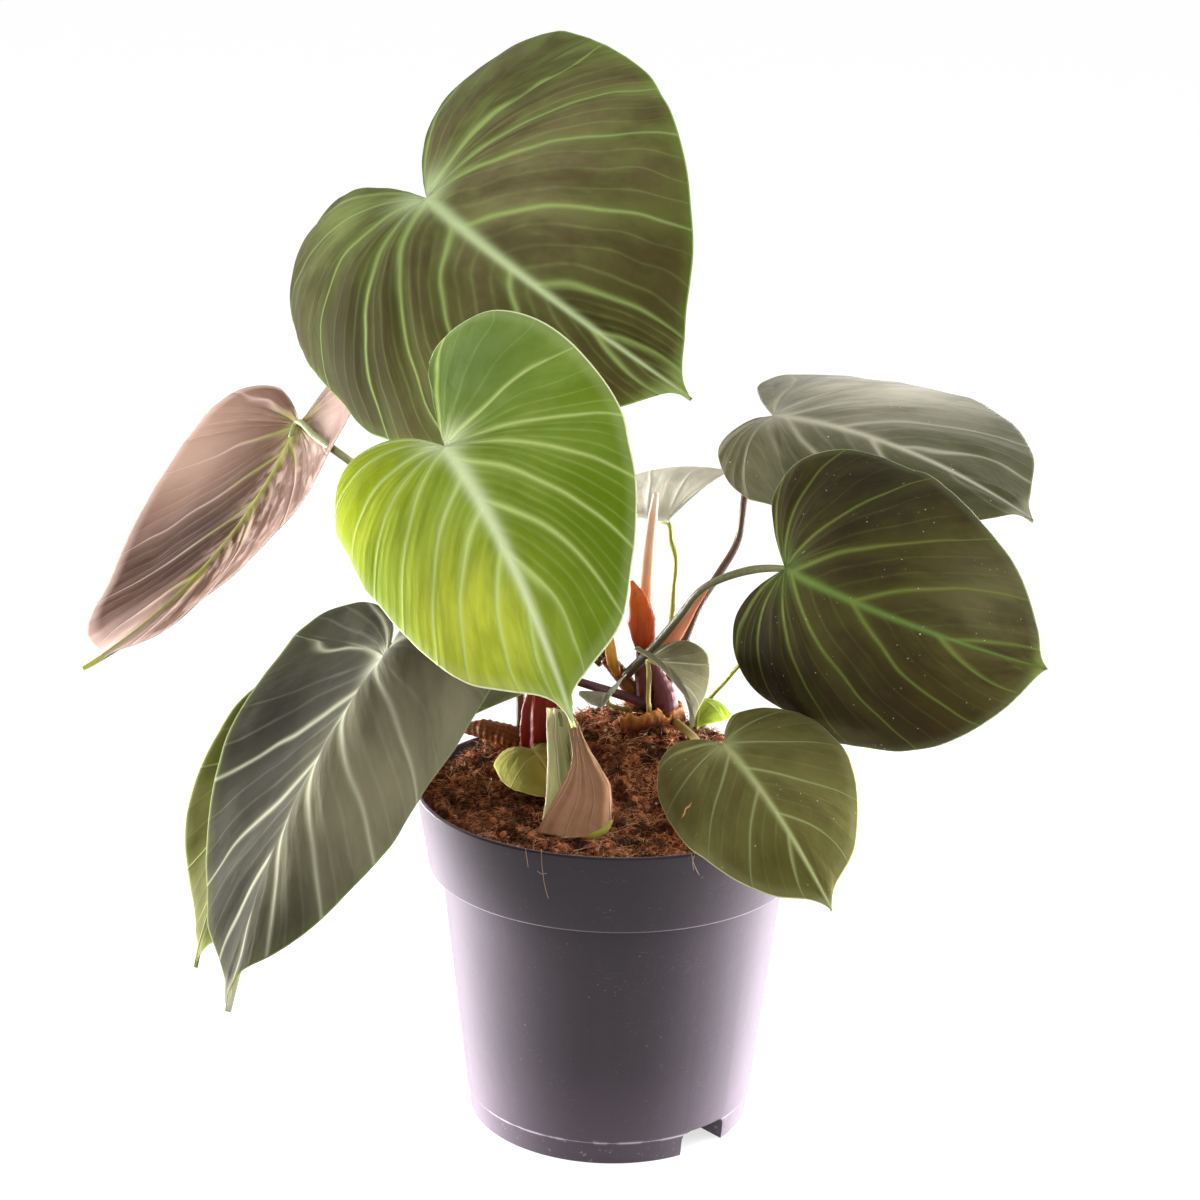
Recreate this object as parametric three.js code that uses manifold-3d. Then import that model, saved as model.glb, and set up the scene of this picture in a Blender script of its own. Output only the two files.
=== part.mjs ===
// A potted philodendron: heart-shaped leaves on long stalks, rooted in coir in a 12 cm nursery pot.
// Millimetres, +Z up. The origin is the centre of the pot's base; +X is the viewer's right and -Y faces them.
import * as THREE from 'three';
import { mergeVertices } from 'three/addons/utils/BufferGeometryUtils.js';
import Module from 'manifold-3d';

const wasm = await Module();
wasm.setup();

const { degToRad, lerp, clamp } = THREE.MathUtils;

const GAP = 0.3; // clearance between neighbouring pieces
const WELD = 1e-4; // vertices closer than this are one vertex
const BLADE_THICKNESS = 0.7;
const NORMAL_STEP = 0.2; // the distance over which a blade's slope is taken

// ---------------------------------------------------------------- driving dimensions

const POT = {
  height: 104.5,
  rimRadius: 60,
  rimLip: 1.2,
  bandHeight: 24.5,
  bandFootRadius: 56,
  wallTopRadius: 52.3,
  wallFootRadius: 44,
  footRadius: 43.5,
  baseRadius: 42.8,
  footHeight: 7,
  plastic: 1.1,
  floor: 1.5,
  segments: 52,
};

// The drains are channels moulded up into the floor, open through the foot of the wall.
const DRAIN = { width: 17, height: 8, corner: 3, inner: 18, overrun: 1, bearings: [42, 222] };

const SOIL = {
  rimLevel: 101.5,
  mounds: [
    { height: 13.5, x: -3, y: 32, spreadX: 34, spreadY: 21 },
    { height: 12, x: 10.5, y: 13, spreadX: 11, spreadY: 12 },
  ],
  edgePower: 8,
  ripple: 0.45,
  rings: [55, 49, 43, 36, 29, 22, 15, 8],
  segments: 36,
};

// A half leaf, as fractions: x runs from the lobe's end (-1) to the drip tip (1), y is the share of the width.
const HALF_LEAF = [
  [0, 0], [-0.42, 0.13], [-0.9, 0.34], [-1, 0.62], [-0.55, 0.89], [0.16, 1],
  [0.42, 0.92], [0.64, 0.73], [0.81, 0.46], [0.905, 0.21], [0.955, 0.06], [1, 0],
];
const FAN_SHARE = 0.52; // share of the margin whose veins start at the stalk, not along the midrib
const FAN_POWER = 1.15;
// How far a vein bows toward the tip, as a share of its chord: full from `from` to `to` of the margin.
const VEIN_BOW = { most: 0.2, from: 0.35, power: 1.5, to: 0.8, lossAtTip: 0.6 };

// Leaves. `at` is where the stalk meets the blade and `tip` the drip tip. Seen from above with the tip ahead,
// pairs are [left, right]: half width, lobe length, fold up from the midrib and curl out to the margin, in
// degrees. `arch` bends the midrib down over its length and `back` bends the lobes. `roll` turns the face
// about the midrib. A stalk's path runs from the blade to its foot.
const LEAVES = {
  leaf_top: {
    at: [-58.5, 29, 276], tip: [17.5, -65, 237.5], roll: -64,
    width: [71, 70], lobe: [51.5, 58], fold: [4, 45], curl: [-43, -90], arch: 38, back: 21,
    stalk: [
      [-58.5, 36.5, 258], [-52.5, 42.5, 235.5], [-41, 45, 205], [-26.5, 42, 176], [-12, 34, 154.5], [-2, 23.5, 139],
    ],
  },
  leaf_front: {
    at: [-46, -85.5, 227.5], tip: [-11, -155.5, 176.5], roll: -6,
    width: [43, 41], lobe: [45, 11.5], fold: [39, 13], curl: [-7, -98], arch: 34, back: 20,
    stalk: [[-42.5, -71, 219], [-35, -42.5, 200.5], [-23.5, -11.5, 177.5], [-13, 7, 157.5], [-3.5, 18.5, 140]],
  },
  leaf_underside: {
    at: [-98.5, 39, 204.5], tip: [-153.5, -27.5, 146.5], roll: 155,
    width: [67.5, 37.5], lobe: [19.5, 21], fold: [-4, 5], curl: [-11, -11], arch: 32, back: 12,
    stalk: [
      [-90, 39, 199.5], [-82, 39, 194], [-62, 41.5, 178.5], [-37, 38.5, 157.5], [-16, 30, 143.5], [-4.5, 21.5, 136],
    ],
  },
  leaf_lower_left: {
    at: [-64.5, -52, 160], tip: [-104, -99, 74], roll: -32,
    width: [45, 61], lobe: [30, 17], fold: [27, -1], curl: [-160, 28], arch: 24, back: -24,
    stalk: [[-60, -46, 161.5], [-45, -22, 162], [-33, 2, 158], [-29.5, 17, 145], [-29.5, 22, 130], [-29, 21.5, 114]],
  },
  leaf_behind: {
    at: [-55, 4, 136.5], tip: [-119, -58, 68], roll: -22,
    width: [57, 64], lobe: [31, 30], fold: [-10, -20], curl: [8, 63], arch: 62, back: 10,
    stalk: [[-50, 9, 135.5], [-38, 13, 137], [-22, 12, 136], [-9, 9.5, 133], [2, 14.5, 128], [13, 16.5, 123.5]],
  },
  leaf_upper_right: {
    at: [46.5, 37, 211], tip: [118, -19, 194], roll: -13,
    width: [58.5, 30.5], lobe: [23.5, 12], fold: [5, -5], curl: [-30, -92], arch: 29, back: 0,
    stalk: [
      [43, 37, 202], [39, 40, 187], [37, 42, 170], [31.5, 40, 160], [26, 36, 152], [21, 28.5, 141.5], [15, 20, 128],
    ],
  },
  leaf_right: {
    at: [48, -18, 178], tip: [121.5, -39, 156], roll: -80,
    width: [49, 56], lobe: [20, 16], fold: [4, 12], curl: [-73, -85], arch: 84, back: -5,
    stalk: [[40, -15, 177], [30, -10, 172.5], [24, -6, 167.5], [18.5, 0, 158], [11, 8, 145.5], [3, 16, 134]],
  },
  leaf_lower_right: {
    at: [30.5, -43, 133], tip: [60, -77, 97], roll: -30,
    width: [32.5, 27.5], lobe: [17, 19], fold: [-16, -23], curl: [-11, -21], arch: 59, back: 11,
    stalk: [[27.5, -36, 130], [25, -18, 124], [22.5, 0, 121], [18.5, 13, 120]], stalkRadii: [1, 1.2],
  },
  leaf_small_folded: {
    at: [10, -6, 146.5], tip: [22.5, -12.5, 127], roll: -1,
    width: [26.5, 16], lobe: [3, 4], fold: [-19, 42], curl: [31, -31], arch: 77, back: -21,
    stalk: [[9.5, -5, 142.5], [9.6, 0, 134.5], [9.8, 7, 128.4], [10.2, 12.2, 125], [10.4, 12.6, 119], [10.4, 12.6, 113]],
    stalkRadii: [0.7, 0.8], small: true,
  },
  leaf_small_pale: {
    at: [15, 44, 175.5], tip: [-11, 75, 169], roll: -5,
    width: [13, 32], lobe: [8, 4.5], fold: [14, 60], curl: [0, -63], arch: 8, back: 3,
    stalk: [[16.5, 45, 169], [18, 44, 163], [17.5, 42, 153], [17, 36, 146], [15, 27, 138], [12, 21, 129]],
    stalkRadii: [0.8, 1], small: true,
  },
  leaf_on_soil: {
    at: [-25, 4, 113.5], tip: [-15, -24, 106], roll: 2,
    width: [13, 13], lobe: [6, 5], fold: [11, 9], curl: [-40, -60], arch: 28, back: 12,
    stalk: [[-25, 5.5, 112.5], [-24.5, 9, 112.5], [-23.5, 13, 114]], stalkRadii: [0.7, 0.7], small: true,
  },
  leaf_tiny_lime: {
    at: [28, 29, 122.5], tip: [25, 12, 118.5], roll: -15,
    width: [10, 9], lobe: [3, 3], fold: [-14, -13], curl: [-60, -89], arch: 45, back: 20,
    stalk: [[28, 30, 120.5], [27.5, 31, 114], [27, 31, 104]], stalkRadii: [0.7, 0.8], small: true,
  },
  leaf_narrow: {
    at: [-3, 4, 132], tip: [-4.5, -6, 130.3], roll: 0,
    width: [8.5, 8], lobe: [2, 2], fold: [45, 3], curl: [5, -5], arch: 40, back: 10,
    stalk: [[-2.6, 6, 129.5], [-2, 10, 126.5], [1, 14.5, 124], [5, 18, 121.5], [10, 19.5, 118.5]],
    stalkRadii: [0.6, 0.7], small: true,
  },
  leaf_hidden: {
    at: [56, 24, 150], tip: [66, 12, 138], roll: -40,
    width: [14, 14], lobe: [6, 6], fold: [10, 10], curl: [-30, -30], arch: 30, back: 10,
    stalk: [[50, 24, 145], [39, 25, 136], [34, 30, 128], [29.5, 38, 119], [28, 41, 110], [28, 41, 102]],
    stalkRadii: [0.7, 0.8], small: true,
  },
};
const STALK_RADII = [1.1, 1.4];
// A stalk runs on under the midrib as a rib, this many radii long, and comes off it at a heel behind the blade.
const RIB = { length: 4, sunk: 0.1, heel: 0.5, heelDrop: 0.2 };
const LARGE_GRID = { rows: 15, columns: 5 };
const SMALL_GRID = { rows: 10, columns: 2 };

// Shoots that rise from the soil, and what stands on them. Radii are spread evenly along each path, and `depth`
// is how deep a flattened one is, front to back, against its width.
const SHOOTS = {
  rightStem: {
    path: [
      [14, 19, 98], [14, 19, 108], [13, 19, 114], [10.5, 19, 121], [9, 18.5, 127], [8.5, 18, 134], [8.5, 18, 141],
    ],
    radii: [2.6, 3.2, 3.2, 3, 2.9, 2.9, 2.4], sides: 10,
  },
  rightSwelling: {
    path: [[16, 18, 108], [16, 17, 116], [15.8, 16.5, 122], [14.8, 16.5, 128], [12.5, 17, 134], [11, 17.5, 138]],
    radii: [3.4, 4.2, 4.2, 3.6, 2.4, 1.2], sides: 10,
  },
  rightBranch: {
    path: [[10, 19.5, 122], [5.6, 20, 127], [1.2, 20, 133], [-3.2, 20, 138.5]],
    radii: [2.4, 2.5, 2.4, 2.2], sides: 10, steps: 6,
  },
  leftStem: {
    path: [[-23, 15, 98], [-22.5, 14.5, 108], [-22, 14, 116], [-22, 14.5, 124], [-22, 15.5, 132], [-23, 17, 139]],
    radii: [4, 6, 6.8, 6.4, 4.4, 1.2], depth: 0.55, sides: 14,
  },
  leftRootstock: {
    path: [[-48, 23, 113.5], [-41, 21, 114], [-34, 19, 113], [-27, 17, 111], [-20, 15, 108]],
    radii: [1.2, 3, 3.5, 3.6, 3], sides: 10,
  },
  newLeaf: {
    path: [
      [8.6, 19.5, 139], [8.5, 20.3, 147], [8.3, 20.5, 157], [8.8, 20.3, 169], [9.8, 20, 181], [10.9, 20, 190.5],
    ],
    radii: [1.5, 2.1, 2.3, 2.1, 1.7, 0.9],
  },
  orangeCataphyll: {
    path: [[8.6, 15.5, 140], [8, 14.6, 147], [7, 14.4, 154], [5.5, 15, 160], [4, 16, 164]],
    radii: [1.9, 3.6, 4.3, 3, 0.5], depth: 0.5, sides: 12,
  },
  salmonCataphyll: {
    path: [
      [12.5, 20, 134], [15, 21.5, 141], [18.5, 23, 147], [22.5, 24, 154], [26.3, 24.5, 159], [29.6, 25, 162.4],
    ],
    radii: [1.2, 2.4, 2.8, 2.4, 1.5, 0.3], depth: 0.45, sides: 12,
  },
  yellowSheath: {
    path: [[0.4, 17.2, 133.6], [-1.1, 15.2, 138], [-1.9, 14.7, 143], [-1.6, 15, 148]],
    radii: [1, 1.8, 1.6, 0.4], depth: 0.45, sides: 10, steps: 6,
  },
};

// The dried sheath: a collar around the foot of the swelling, with a flap that has peeled away to the left.
const COLLAR = { x: 16, y: 17.5, bottom: 112.5, top: 124, waist: [[5.5, 116], [5.6, 120]], ends: 4.7, sides: 16 };
const FLAP = {
  foot: [[16, 12.6, 110], [11, 10.4, 109.5], [6, 9.4, 109], [3, 9.6, 109]],
  top: [[17, 12.4, 123], [12, 9, 125], [6.5, 8, 124.2], [1.2, 8.6, 123.2]],
  thickness: 0.8,
  rows: 8,
  columns: 3,
};

// The rolled leaf, as rails that run down its length: the left margin, the back, the right-hand turn, the
// front of the flap folded over, and the flap's own margin.
const ROLLED_RAILS = [
  [[-21, -2, 129], [-20, -12, 121], [-20, -25, 112], [-21, -36, 104.5]],
  [[-17, 3, 127], [-14, -6, 120], [-11, -18, 112], [-11, -29, 104.5]],
  [[-12, -4, 126.5], [-8, -14, 121], [-2, -25, 114], [-1, -34, 105]],
  [[-12, -6.5, 126.5], [-10, -21, 118], [-9, -33, 110], [-11, -42, 103.5]],
  [[-14, -7.5, 126.5], [-13, -22, 118.5], [-18, -34, 111.5], [-22.5, -39.5, 104]],
];
const ROLLED_GRID = { rows: 9, columns: 12 };
const ROLLED_STALK = {
  path: [[-16.5, -2, 123], [-17, 2, 125.5], [-18, 6, 125], [-19.5, 10, 122], [-21, 15, 119]],
  radii: [0.9, 0.9, 1, 1.1], steps: 8,
};

// ---------------------------------------------------------------- solids

function finish(color, roughness) {
  return new THREE.MeshStandardMaterial({ color, roughness, metalness: 0 });
}

/** Closes a geometry into a solid whose faces point outward. */
function solid(geometry) {
  const bare = geometry.clone();
  bare.deleteAttribute('normal');
  bare.deleteAttribute('uv');
  const welded = mergeVertices(bare, WELD);
  const triangles = [];
  for (let i = 0; i < welded.index.count; i += 3) {
    const corners = [0, 1, 2].map((k) => welded.index.getX(i + k));
    if (new Set(corners).size === 3) triangles.push(corners);
  }
  const vertProperties = new Float32Array(welded.attributes.position.array);
  const close = (faces) =>
    new wasm.Manifold(new wasm.Mesh({ numProp: 3, vertProperties, triVerts: new Uint32Array(faces.flat()) }));
  const body = close(triangles);
  return body.volume() > 0 ? body : close(triangles.map(([a, b, c]) => [a, c, b]));
}

function mesh(name, body, material) {
  const { vertProperties, triVerts } = body.getMesh();
  const geometry = new THREE.BufferGeometry();
  geometry.setAttribute('position', new THREE.BufferAttribute(vertProperties, 3));
  geometry.setIndex(new THREE.BufferAttribute(triVerts, 1));
  geometry.computeVertexNormals();
  const result = new THREE.Mesh(geometry, material);
  result.name = name;
  return result;
}

const join = (bodies) => bodies.reduce((whole, body) => whole.add(body));
const cut = (body, tools) => tools.reduce((rest, tool) => rest.subtract(tool), body);
const vectors = (points) => points.map((point) => new THREE.Vector3(...point));

/** Turns an outline of [radius, height] pairs about the Z axis. */
function turned(outline, segments) {
  const points = outline.map(([radius, height]) => new THREE.Vector2(radius, height));
  return new THREE.LatheGeometry(points, segments).rotateX(Math.PI / 2);
}

/** A stem: a turned profile bent along a path, round or flattened front to back. */
function limb({ path, radii, depth = 1, sides = 8, steps = 12 }, grow = 0) {
  const curve = new THREE.CatmullRomCurve3(vectors(path));
  const frames = curve.computeFrenetFrames(steps, false);
  const front = new THREE.Vector3(0, 1, 0);
  const radiusAt = (share) => {
    const place = share * (radii.length - 1);
    const low = Math.min(Math.floor(place), radii.length - 2);
    return lerp(radii[low], radii[low + 1], place - low);
  };
  const outline = [new THREE.Vector2(0, 0)];
  for (let step = 0; step <= steps; step++) {
    outline.push(new THREE.Vector2(radiusAt(step / steps) + grow, step / steps));
  }
  outline.push(new THREE.Vector2(0, 1));
  const geometry = new THREE.LatheGeometry(outline, sides);
  const position = geometry.attributes.position;
  for (let i = 0; i < position.count; i++) {
    const step = Math.round(position.getY(i) * steps);
    const along = frames.tangents[step];
    const wide = depth === 1 ? frames.normals[step] : front.clone().cross(along).normalize();
    const deep = along.clone().cross(wide);
    const reach = step === 0 ? -grow : step === steps ? grow : 0;
    const flatten = depth === 1 ? 1 : depth + grow / Math.max(radiusAt(step / steps), 1);
    const place = curve.getPointAt(step / steps).addScaledVector(along, reach)
      .addScaledVector(wide, position.getX(i)).addScaledVector(deep, position.getZ(i) * flatten);
    position.setXYZ(i, place.x, place.y, place.z);
  }
  return solid(geometry);
}

/** A thin sheet over a grid. frameAt(u, v) gives the point and the normal of its middle surface. */
function sheet(frameAt, rows, columns, thickness) {
  const positions = [];
  for (let row = 0; row <= rows; row++) {
    for (let column = 0; column <= columns; column++) {
      const { point, normal } = frameAt(row / rows, column / columns);
      for (const side of [0.5, -0.5]) {
        positions.push(...point.clone().addScaledVector(normal, side * thickness).toArray());
      }
    }
  }
  const upper = (row, column) => 2 * (row * (columns + 1) + column);
  const faces = [];
  for (let row = 0; row < rows; row++) {
    for (let column = 0; column < columns; column++) {
      const [a, b] = [upper(row, column), upper(row + 1, column)];
      const [c, d] = [upper(row + 1, column + 1), upper(row, column + 1)];
      faces.push(a, b, c, a, c, d, a + 1, c + 1, b + 1, a + 1, d + 1, c + 1);
    }
  }
  const edge = [];
  for (let row = 0; row < rows; row++) edge.push(upper(row, 0));
  for (let column = 0; column < columns; column++) edge.push(upper(rows, column));
  for (let row = rows; row > 0; row--) edge.push(upper(row, columns));
  for (let column = columns; column > 0; column--) edge.push(upper(0, column));
  edge.forEach((from, i) => {
    const to = edge[(i + 1) % edge.length];
    faces.push(to, from, from + 1, to, from + 1, to + 1);
  });
  const geometry = new THREE.BufferGeometry();
  geometry.setAttribute('position', new THREE.Float32BufferAttribute(positions, 3));
  geometry.setIndex(faces);
  return solid(geometry);
}

/** A sheet through rails: v runs across them and u along them. */
function railSheet(rails, rows, columns, thickness) {
  const curves = rails.map((rail) => new THREE.CatmullRomCurve3(vectors(rail)));
  const pointAt = (u, v) => new THREE.CatmullRomCurve3(curves.map((curve) => curve.getPoint(u))).getPoint(v);
  const step = 0.01;
  const around = (share) => [clamp(share - step, 0, 1), clamp(share + step, 0, 1)];
  const frameAt = (u, v) => {
    const [lowU, highU] = around(u);
    const [lowV, highV] = around(v);
    const alongU = pointAt(highU, v).sub(pointAt(lowU, v));
    const alongV = pointAt(u, highV).sub(pointAt(u, lowV));
    return { point: pointAt(u, v), normal: alongU.cross(alongV).normalize() };
  };
  return sheet(frameAt, rows, columns, thickness);
}

// ---------------------------------------------------------------- pot and soil

function potOutline() {
  const lip = POT.rimLip / 3;
  const bandFoot = POT.height - POT.bandHeight;
  return [
    [0, 0], [POT.baseRadius, 0], [POT.footRadius, POT.footHeight], [POT.wallFootRadius, POT.footHeight + lip],
    [POT.wallTopRadius, bandFoot], [POT.bandFootRadius - lip, bandFoot], [POT.bandFootRadius, bandFoot + lip],
    [POT.rimRadius, POT.height - lip], [POT.rimRadius - lip, POT.height],
  ];
}

function potHollow(gap) {
  const ledge = POT.height - POT.bandHeight + POT.plastic;
  const inset = POT.plastic + gap;
  return [
    [POT.rimRadius - POT.rimLip - gap, POT.height],
    [POT.bandFootRadius - inset, ledge + gap],
    [POT.wallTopRadius - inset, ledge + gap],
    [POT.baseRadius - inset, POT.floor + gap],
    [0, POT.floor + gap],
  ];
}

/** A drain's bar, at a bearing from the front toward +X, grown outward by `grow`. */
function drainBar(bearing, grow) {
  const half = DRAIN.width / 2 + grow;
  const top = DRAIN.height + grow;
  const bottom = -DRAIN.overrun;
  const corner = DRAIN.corner + grow;
  const section = new THREE.Shape();
  section.moveTo(-half, bottom);
  section.lineTo(half, bottom);
  section.lineTo(half, top - corner);
  section.absarc(half - corner, top - corner, corner, 0, Math.PI / 2);
  section.lineTo(corner - half, top);
  section.absarc(corner - half, top - corner, corner, Math.PI / 2, Math.PI);
  const length = POT.rimRadius - DRAIN.inner + grow;
  const bar = new THREE.ExtrudeGeometry(section, { depth: length, bevelEnabled: false, curveSegments: 4 });
  const outward = new THREE.Vector3(Math.sin(degToRad(bearing)), -Math.cos(degToRad(bearing)), 0);
  const up = new THREE.Vector3(0, 0, 1);
  const place = new THREE.Matrix4().makeBasis(up.clone().cross(outward), up, outward);
  return solid(bar.translate(0, 0, DRAIN.inner - grow).applyMatrix4(place));
}

function potBody() {
  const outline = potOutline();
  const shell = solid(turned([...outline, ...potHollow(0)], POT.segments));
  const filled = solid(turned([...outline, [0, POT.height]], POT.segments));
  const above = solid(new THREE.BoxGeometry(3 * POT.rimRadius, 3 * POT.rimRadius, POT.height)
    .translate(0, 0, POT.height / 2));
  const roofs = DRAIN.bearings.map((bearing) => drainBar(bearing, POT.plastic).intersect(filled).intersect(above));
  return cut(join([shell, ...roofs]), DRAIN.bearings.map((bearing) => drainBar(bearing, 0)));
}

function soilRise(x, y) {
  const bell = (distance, spread) => Math.exp(-0.5 * (distance / spread) ** 2);
  const ripple = Math.sin(0.55 * x + 1.3) * Math.cos(0.48 * y + 0.4) + Math.sin(1.1 * x + 0.9 * y);
  const edge = 1 - Math.min(Math.hypot(x, y) / SOIL.rings[0], 1) ** SOIL.edgePower;
  return edge * SOIL.mounds.reduce(
    (rise, mound) => rise + mound.height * bell(x - mound.x, mound.spreadX) * bell(y - mound.y, mound.spreadY),
    SOIL.ripple * ripple,
  );
}

function soilBody(tools) {
  const [rim, band, wall, floor, middle] = potHollow(GAP);
  const edgeShare = (SOIL.rimLevel - band[1]) / (rim[1] - band[1]);
  const edge = [lerp(band[0], rim[0], edgeShare), SOIL.rimLevel];
  const outline = [middle, floor, wall, band, edge, ...SOIL.rings.map((radius) => [radius, SOIL.rimLevel]),
    [0, SOIL.rimLevel]];
  const geometry = turned(outline, SOIL.segments);
  const position = geometry.attributes.position;
  for (let i = 0; i < position.count; i++) {
    if (position.getZ(i) < SOIL.rimLevel - GAP) continue;
    position.setZ(i, position.getZ(i) + soilRise(position.getX(i), position.getY(i)));
  }
  const roofs = DRAIN.bearings.map((bearing) => drainBar(bearing, POT.plastic + GAP));
  return cut(solid(geometry), [...roofs, ...tools]);
}

// ---------------------------------------------------------------- leaves

/** A heart-shaped blade, bent from a flat outline along its midrib and out to each margin. */
class Blade {
  constructor({ at, tip, roll, width, lobe, fold, curl, arch, back }) {
    Object.assign(this, { width, lobe, back: degToRad(back), arch: degToRad(arch) });
    this.fold = fold.map(degToRad);
    this.curl = curl.map(degToRad);
    this.at = new THREE.Vector3(...at);
    this.ahead = new THREE.Vector3(...tip).sub(this.at);
    this.length = this.ahead.length() * (this.arch / 2) / Math.sin(this.arch / 2);
    this.ahead.normalize();
    const up = new THREE.Vector3(0, 0, 1);
    const level = up.addScaledVector(this.ahead, -up.dot(this.ahead)).normalize();
    this.face = level.clone().multiplyScalar(Math.cos(degToRad(roll)))
      .addScaledVector(level.clone().cross(this.ahead), Math.sin(degToRad(roll)));
    this.left = this.face.clone().cross(this.ahead);
    this.outline = new THREE.SplineCurve(HALF_LEAF.map(([x, y]) => new THREE.Vector2(x, y)));
  }

  /** The flat point at share u along the margin and share r out from the veins' roots. */
  flat(u, r, side) {
    const half = side > 0 ? 0 : 1;
    const share = this.outline.getPoint(u);
    const margin = new THREE.Vector2(share.x * (share.x < 0 ? this.lobe[half] : this.length),
      share.y * this.width[half]);
    const root = new THREE.Vector2(this.length * clamp((u - FAN_SHARE) / (1 - FAN_SHARE), 0, 1) ** FAN_POWER, 0);
    const chord = margin.clone().sub(root);
    const growing = clamp(u / VEIN_BOW.from, 0, 1) ** VEIN_BOW.power;
    const fading = 1 - VEIN_BOW.lossAtTip * clamp((u - VEIN_BOW.to) / (1 - VEIN_BOW.to), 0, 1);
    const middle = root.clone().add(margin).multiplyScalar(0.5)
      .add(new THREE.Vector2(-chord.y, chord.x).multiplyScalar(VEIN_BOW.most * growing * fading));
    return new THREE.QuadraticBezierCurve(root, middle, margin).getPoint(r);
  }

  /** The point in space of flat distances x along the midrib and y out from it. */
  lift(x, y, side) {
    const half = side > 0 ? 0 : 1;
    const lobeRate = -this.back / Math.max(...this.lobe);
    const rate = x < 0 ? lobeRate : -this.arch / this.length;
    const [ahead, rise] = arcStep(this.arch / 2, rate, x);
    const slope = this.arch / 2 + rate * x;
    const [out, height] = arcStep(this.fold[half], this.curl[half] / this.width[half], y);
    return this.at.clone().addScaledVector(this.ahead, ahead - Math.sin(slope) * height)
      .addScaledVector(this.left, side * out).addScaledVector(this.face, rise + Math.cos(slope) * height);
  }

  normal(x, y, side) {
    if (y < NORMAL_STEP) return this.middleNormal(x);
    const along = this.lift(x + NORMAL_STEP, y, side).sub(this.lift(x - NORMAL_STEP, y, side));
    const outward = this.lift(x, y + NORMAL_STEP, side).sub(this.lift(x, y, side));
    return along.cross(outward).multiplyScalar(side).normalize();
  }

  middleNormal(x) {
    return this.normal(x, NORMAL_STEP, 1).add(this.normal(x, NORMAL_STEP, -1)).normalize();
  }

  /** A point under the midrib. */
  below(x, distance) {
    return this.lift(x, 0, 1).addScaledVector(this.middleNormal(x), -distance);
  }

  body({ rows, columns }) {
    const frameAt = (u, v) => {
      const across = 2 * v - 1;
      const side = across < 0 ? 1 : -1;
      const { x, y } = this.flat(u, Math.abs(across), side);
      return { point: this.lift(x, y, side), normal: this.normal(x, y, side) };
    };
    return sheet(frameAt, rows, 2 * columns, BLADE_THICKNESS);
  }
}

/** Distances along and off a line after length s of an arc that starts at an angle and turns at a rate. */
function arcStep(angle, rate, s) {
  if (Math.abs(rate) < 1e-6) return [s * Math.cos(angle), s * Math.sin(angle)];
  const end = angle + rate * s;
  return [(Math.sin(end) - Math.sin(angle)) / rate, (Math.cos(angle) - Math.cos(end)) / rate];
}

/** A stalk's limb, from under the blade's midrib down to the stalk's foot. */
function stalkOf(leaf, blade) {
  const radii = leaf.stalkRadii ?? STALK_RADII;
  const [top] = radii;
  const held = [blade.below(RIB.length * top, top - RIB.sunk), blade.below(-RIB.heel, top + RIB.heelDrop)];
  return { path: [...held.map((point) => point.toArray()), ...leaf.stalk], radii, steps: leaf.small ? 9 : 12 };
}

function leafBody(leaf, tools) {
  const blade = new Blade(leaf);
  const grid = leaf.small ? SMALL_GRID : LARGE_GRID;
  return cut(join([blade.body(grid), limb(stalkOf(leaf, blade))]), tools);
}

// ---------------------------------------------------------------- stems and sheaths

const rightStemParts = [SHOOTS.rightStem, SHOOTS.rightSwelling, SHOOTS.rightBranch];
const leftStemParts = [SHOOTS.leftStem, SHOOTS.leftRootstock];
const rightClearance = rightStemParts.map((part) => limb(part, GAP));
const leftClearance = leftStemParts.map((part) => limb(part, GAP));

function collar(grow) {
  const bottom = COLLAR.bottom - grow;
  const top = COLLAR.top + grow;
  const waist = COLLAR.waist.map(([radius, height]) => [radius + grow, height]);
  const outline = [[0, bottom], [COLLAR.ends + grow, bottom], ...waist, [COLLAR.ends + grow, top], [0, top]];
  return solid(turned(outline, COLLAR.sides).translate(COLLAR.x, COLLAR.y, 0));
}

function flap(grow) {
  const widened = (rail, rise) => rail.map(([x, y, z], i) => {
    const outward = lerp(grow, -grow, i / (rail.length - 1));
    return [x + outward, y, z + rise];
  });
  const rails = [widened(FLAP.foot, -grow), widened(FLAP.top, grow)];
  return railSheet(rails, FLAP.rows, FLAP.columns, FLAP.thickness + 2 * grow);
}

const driedSheath = cut(join([collar(0), flap(0)]), rightClearance);
const sheathClearance = [collar(GAP), flap(GAP)];

// ---------------------------------------------------------------- the plant

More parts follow.
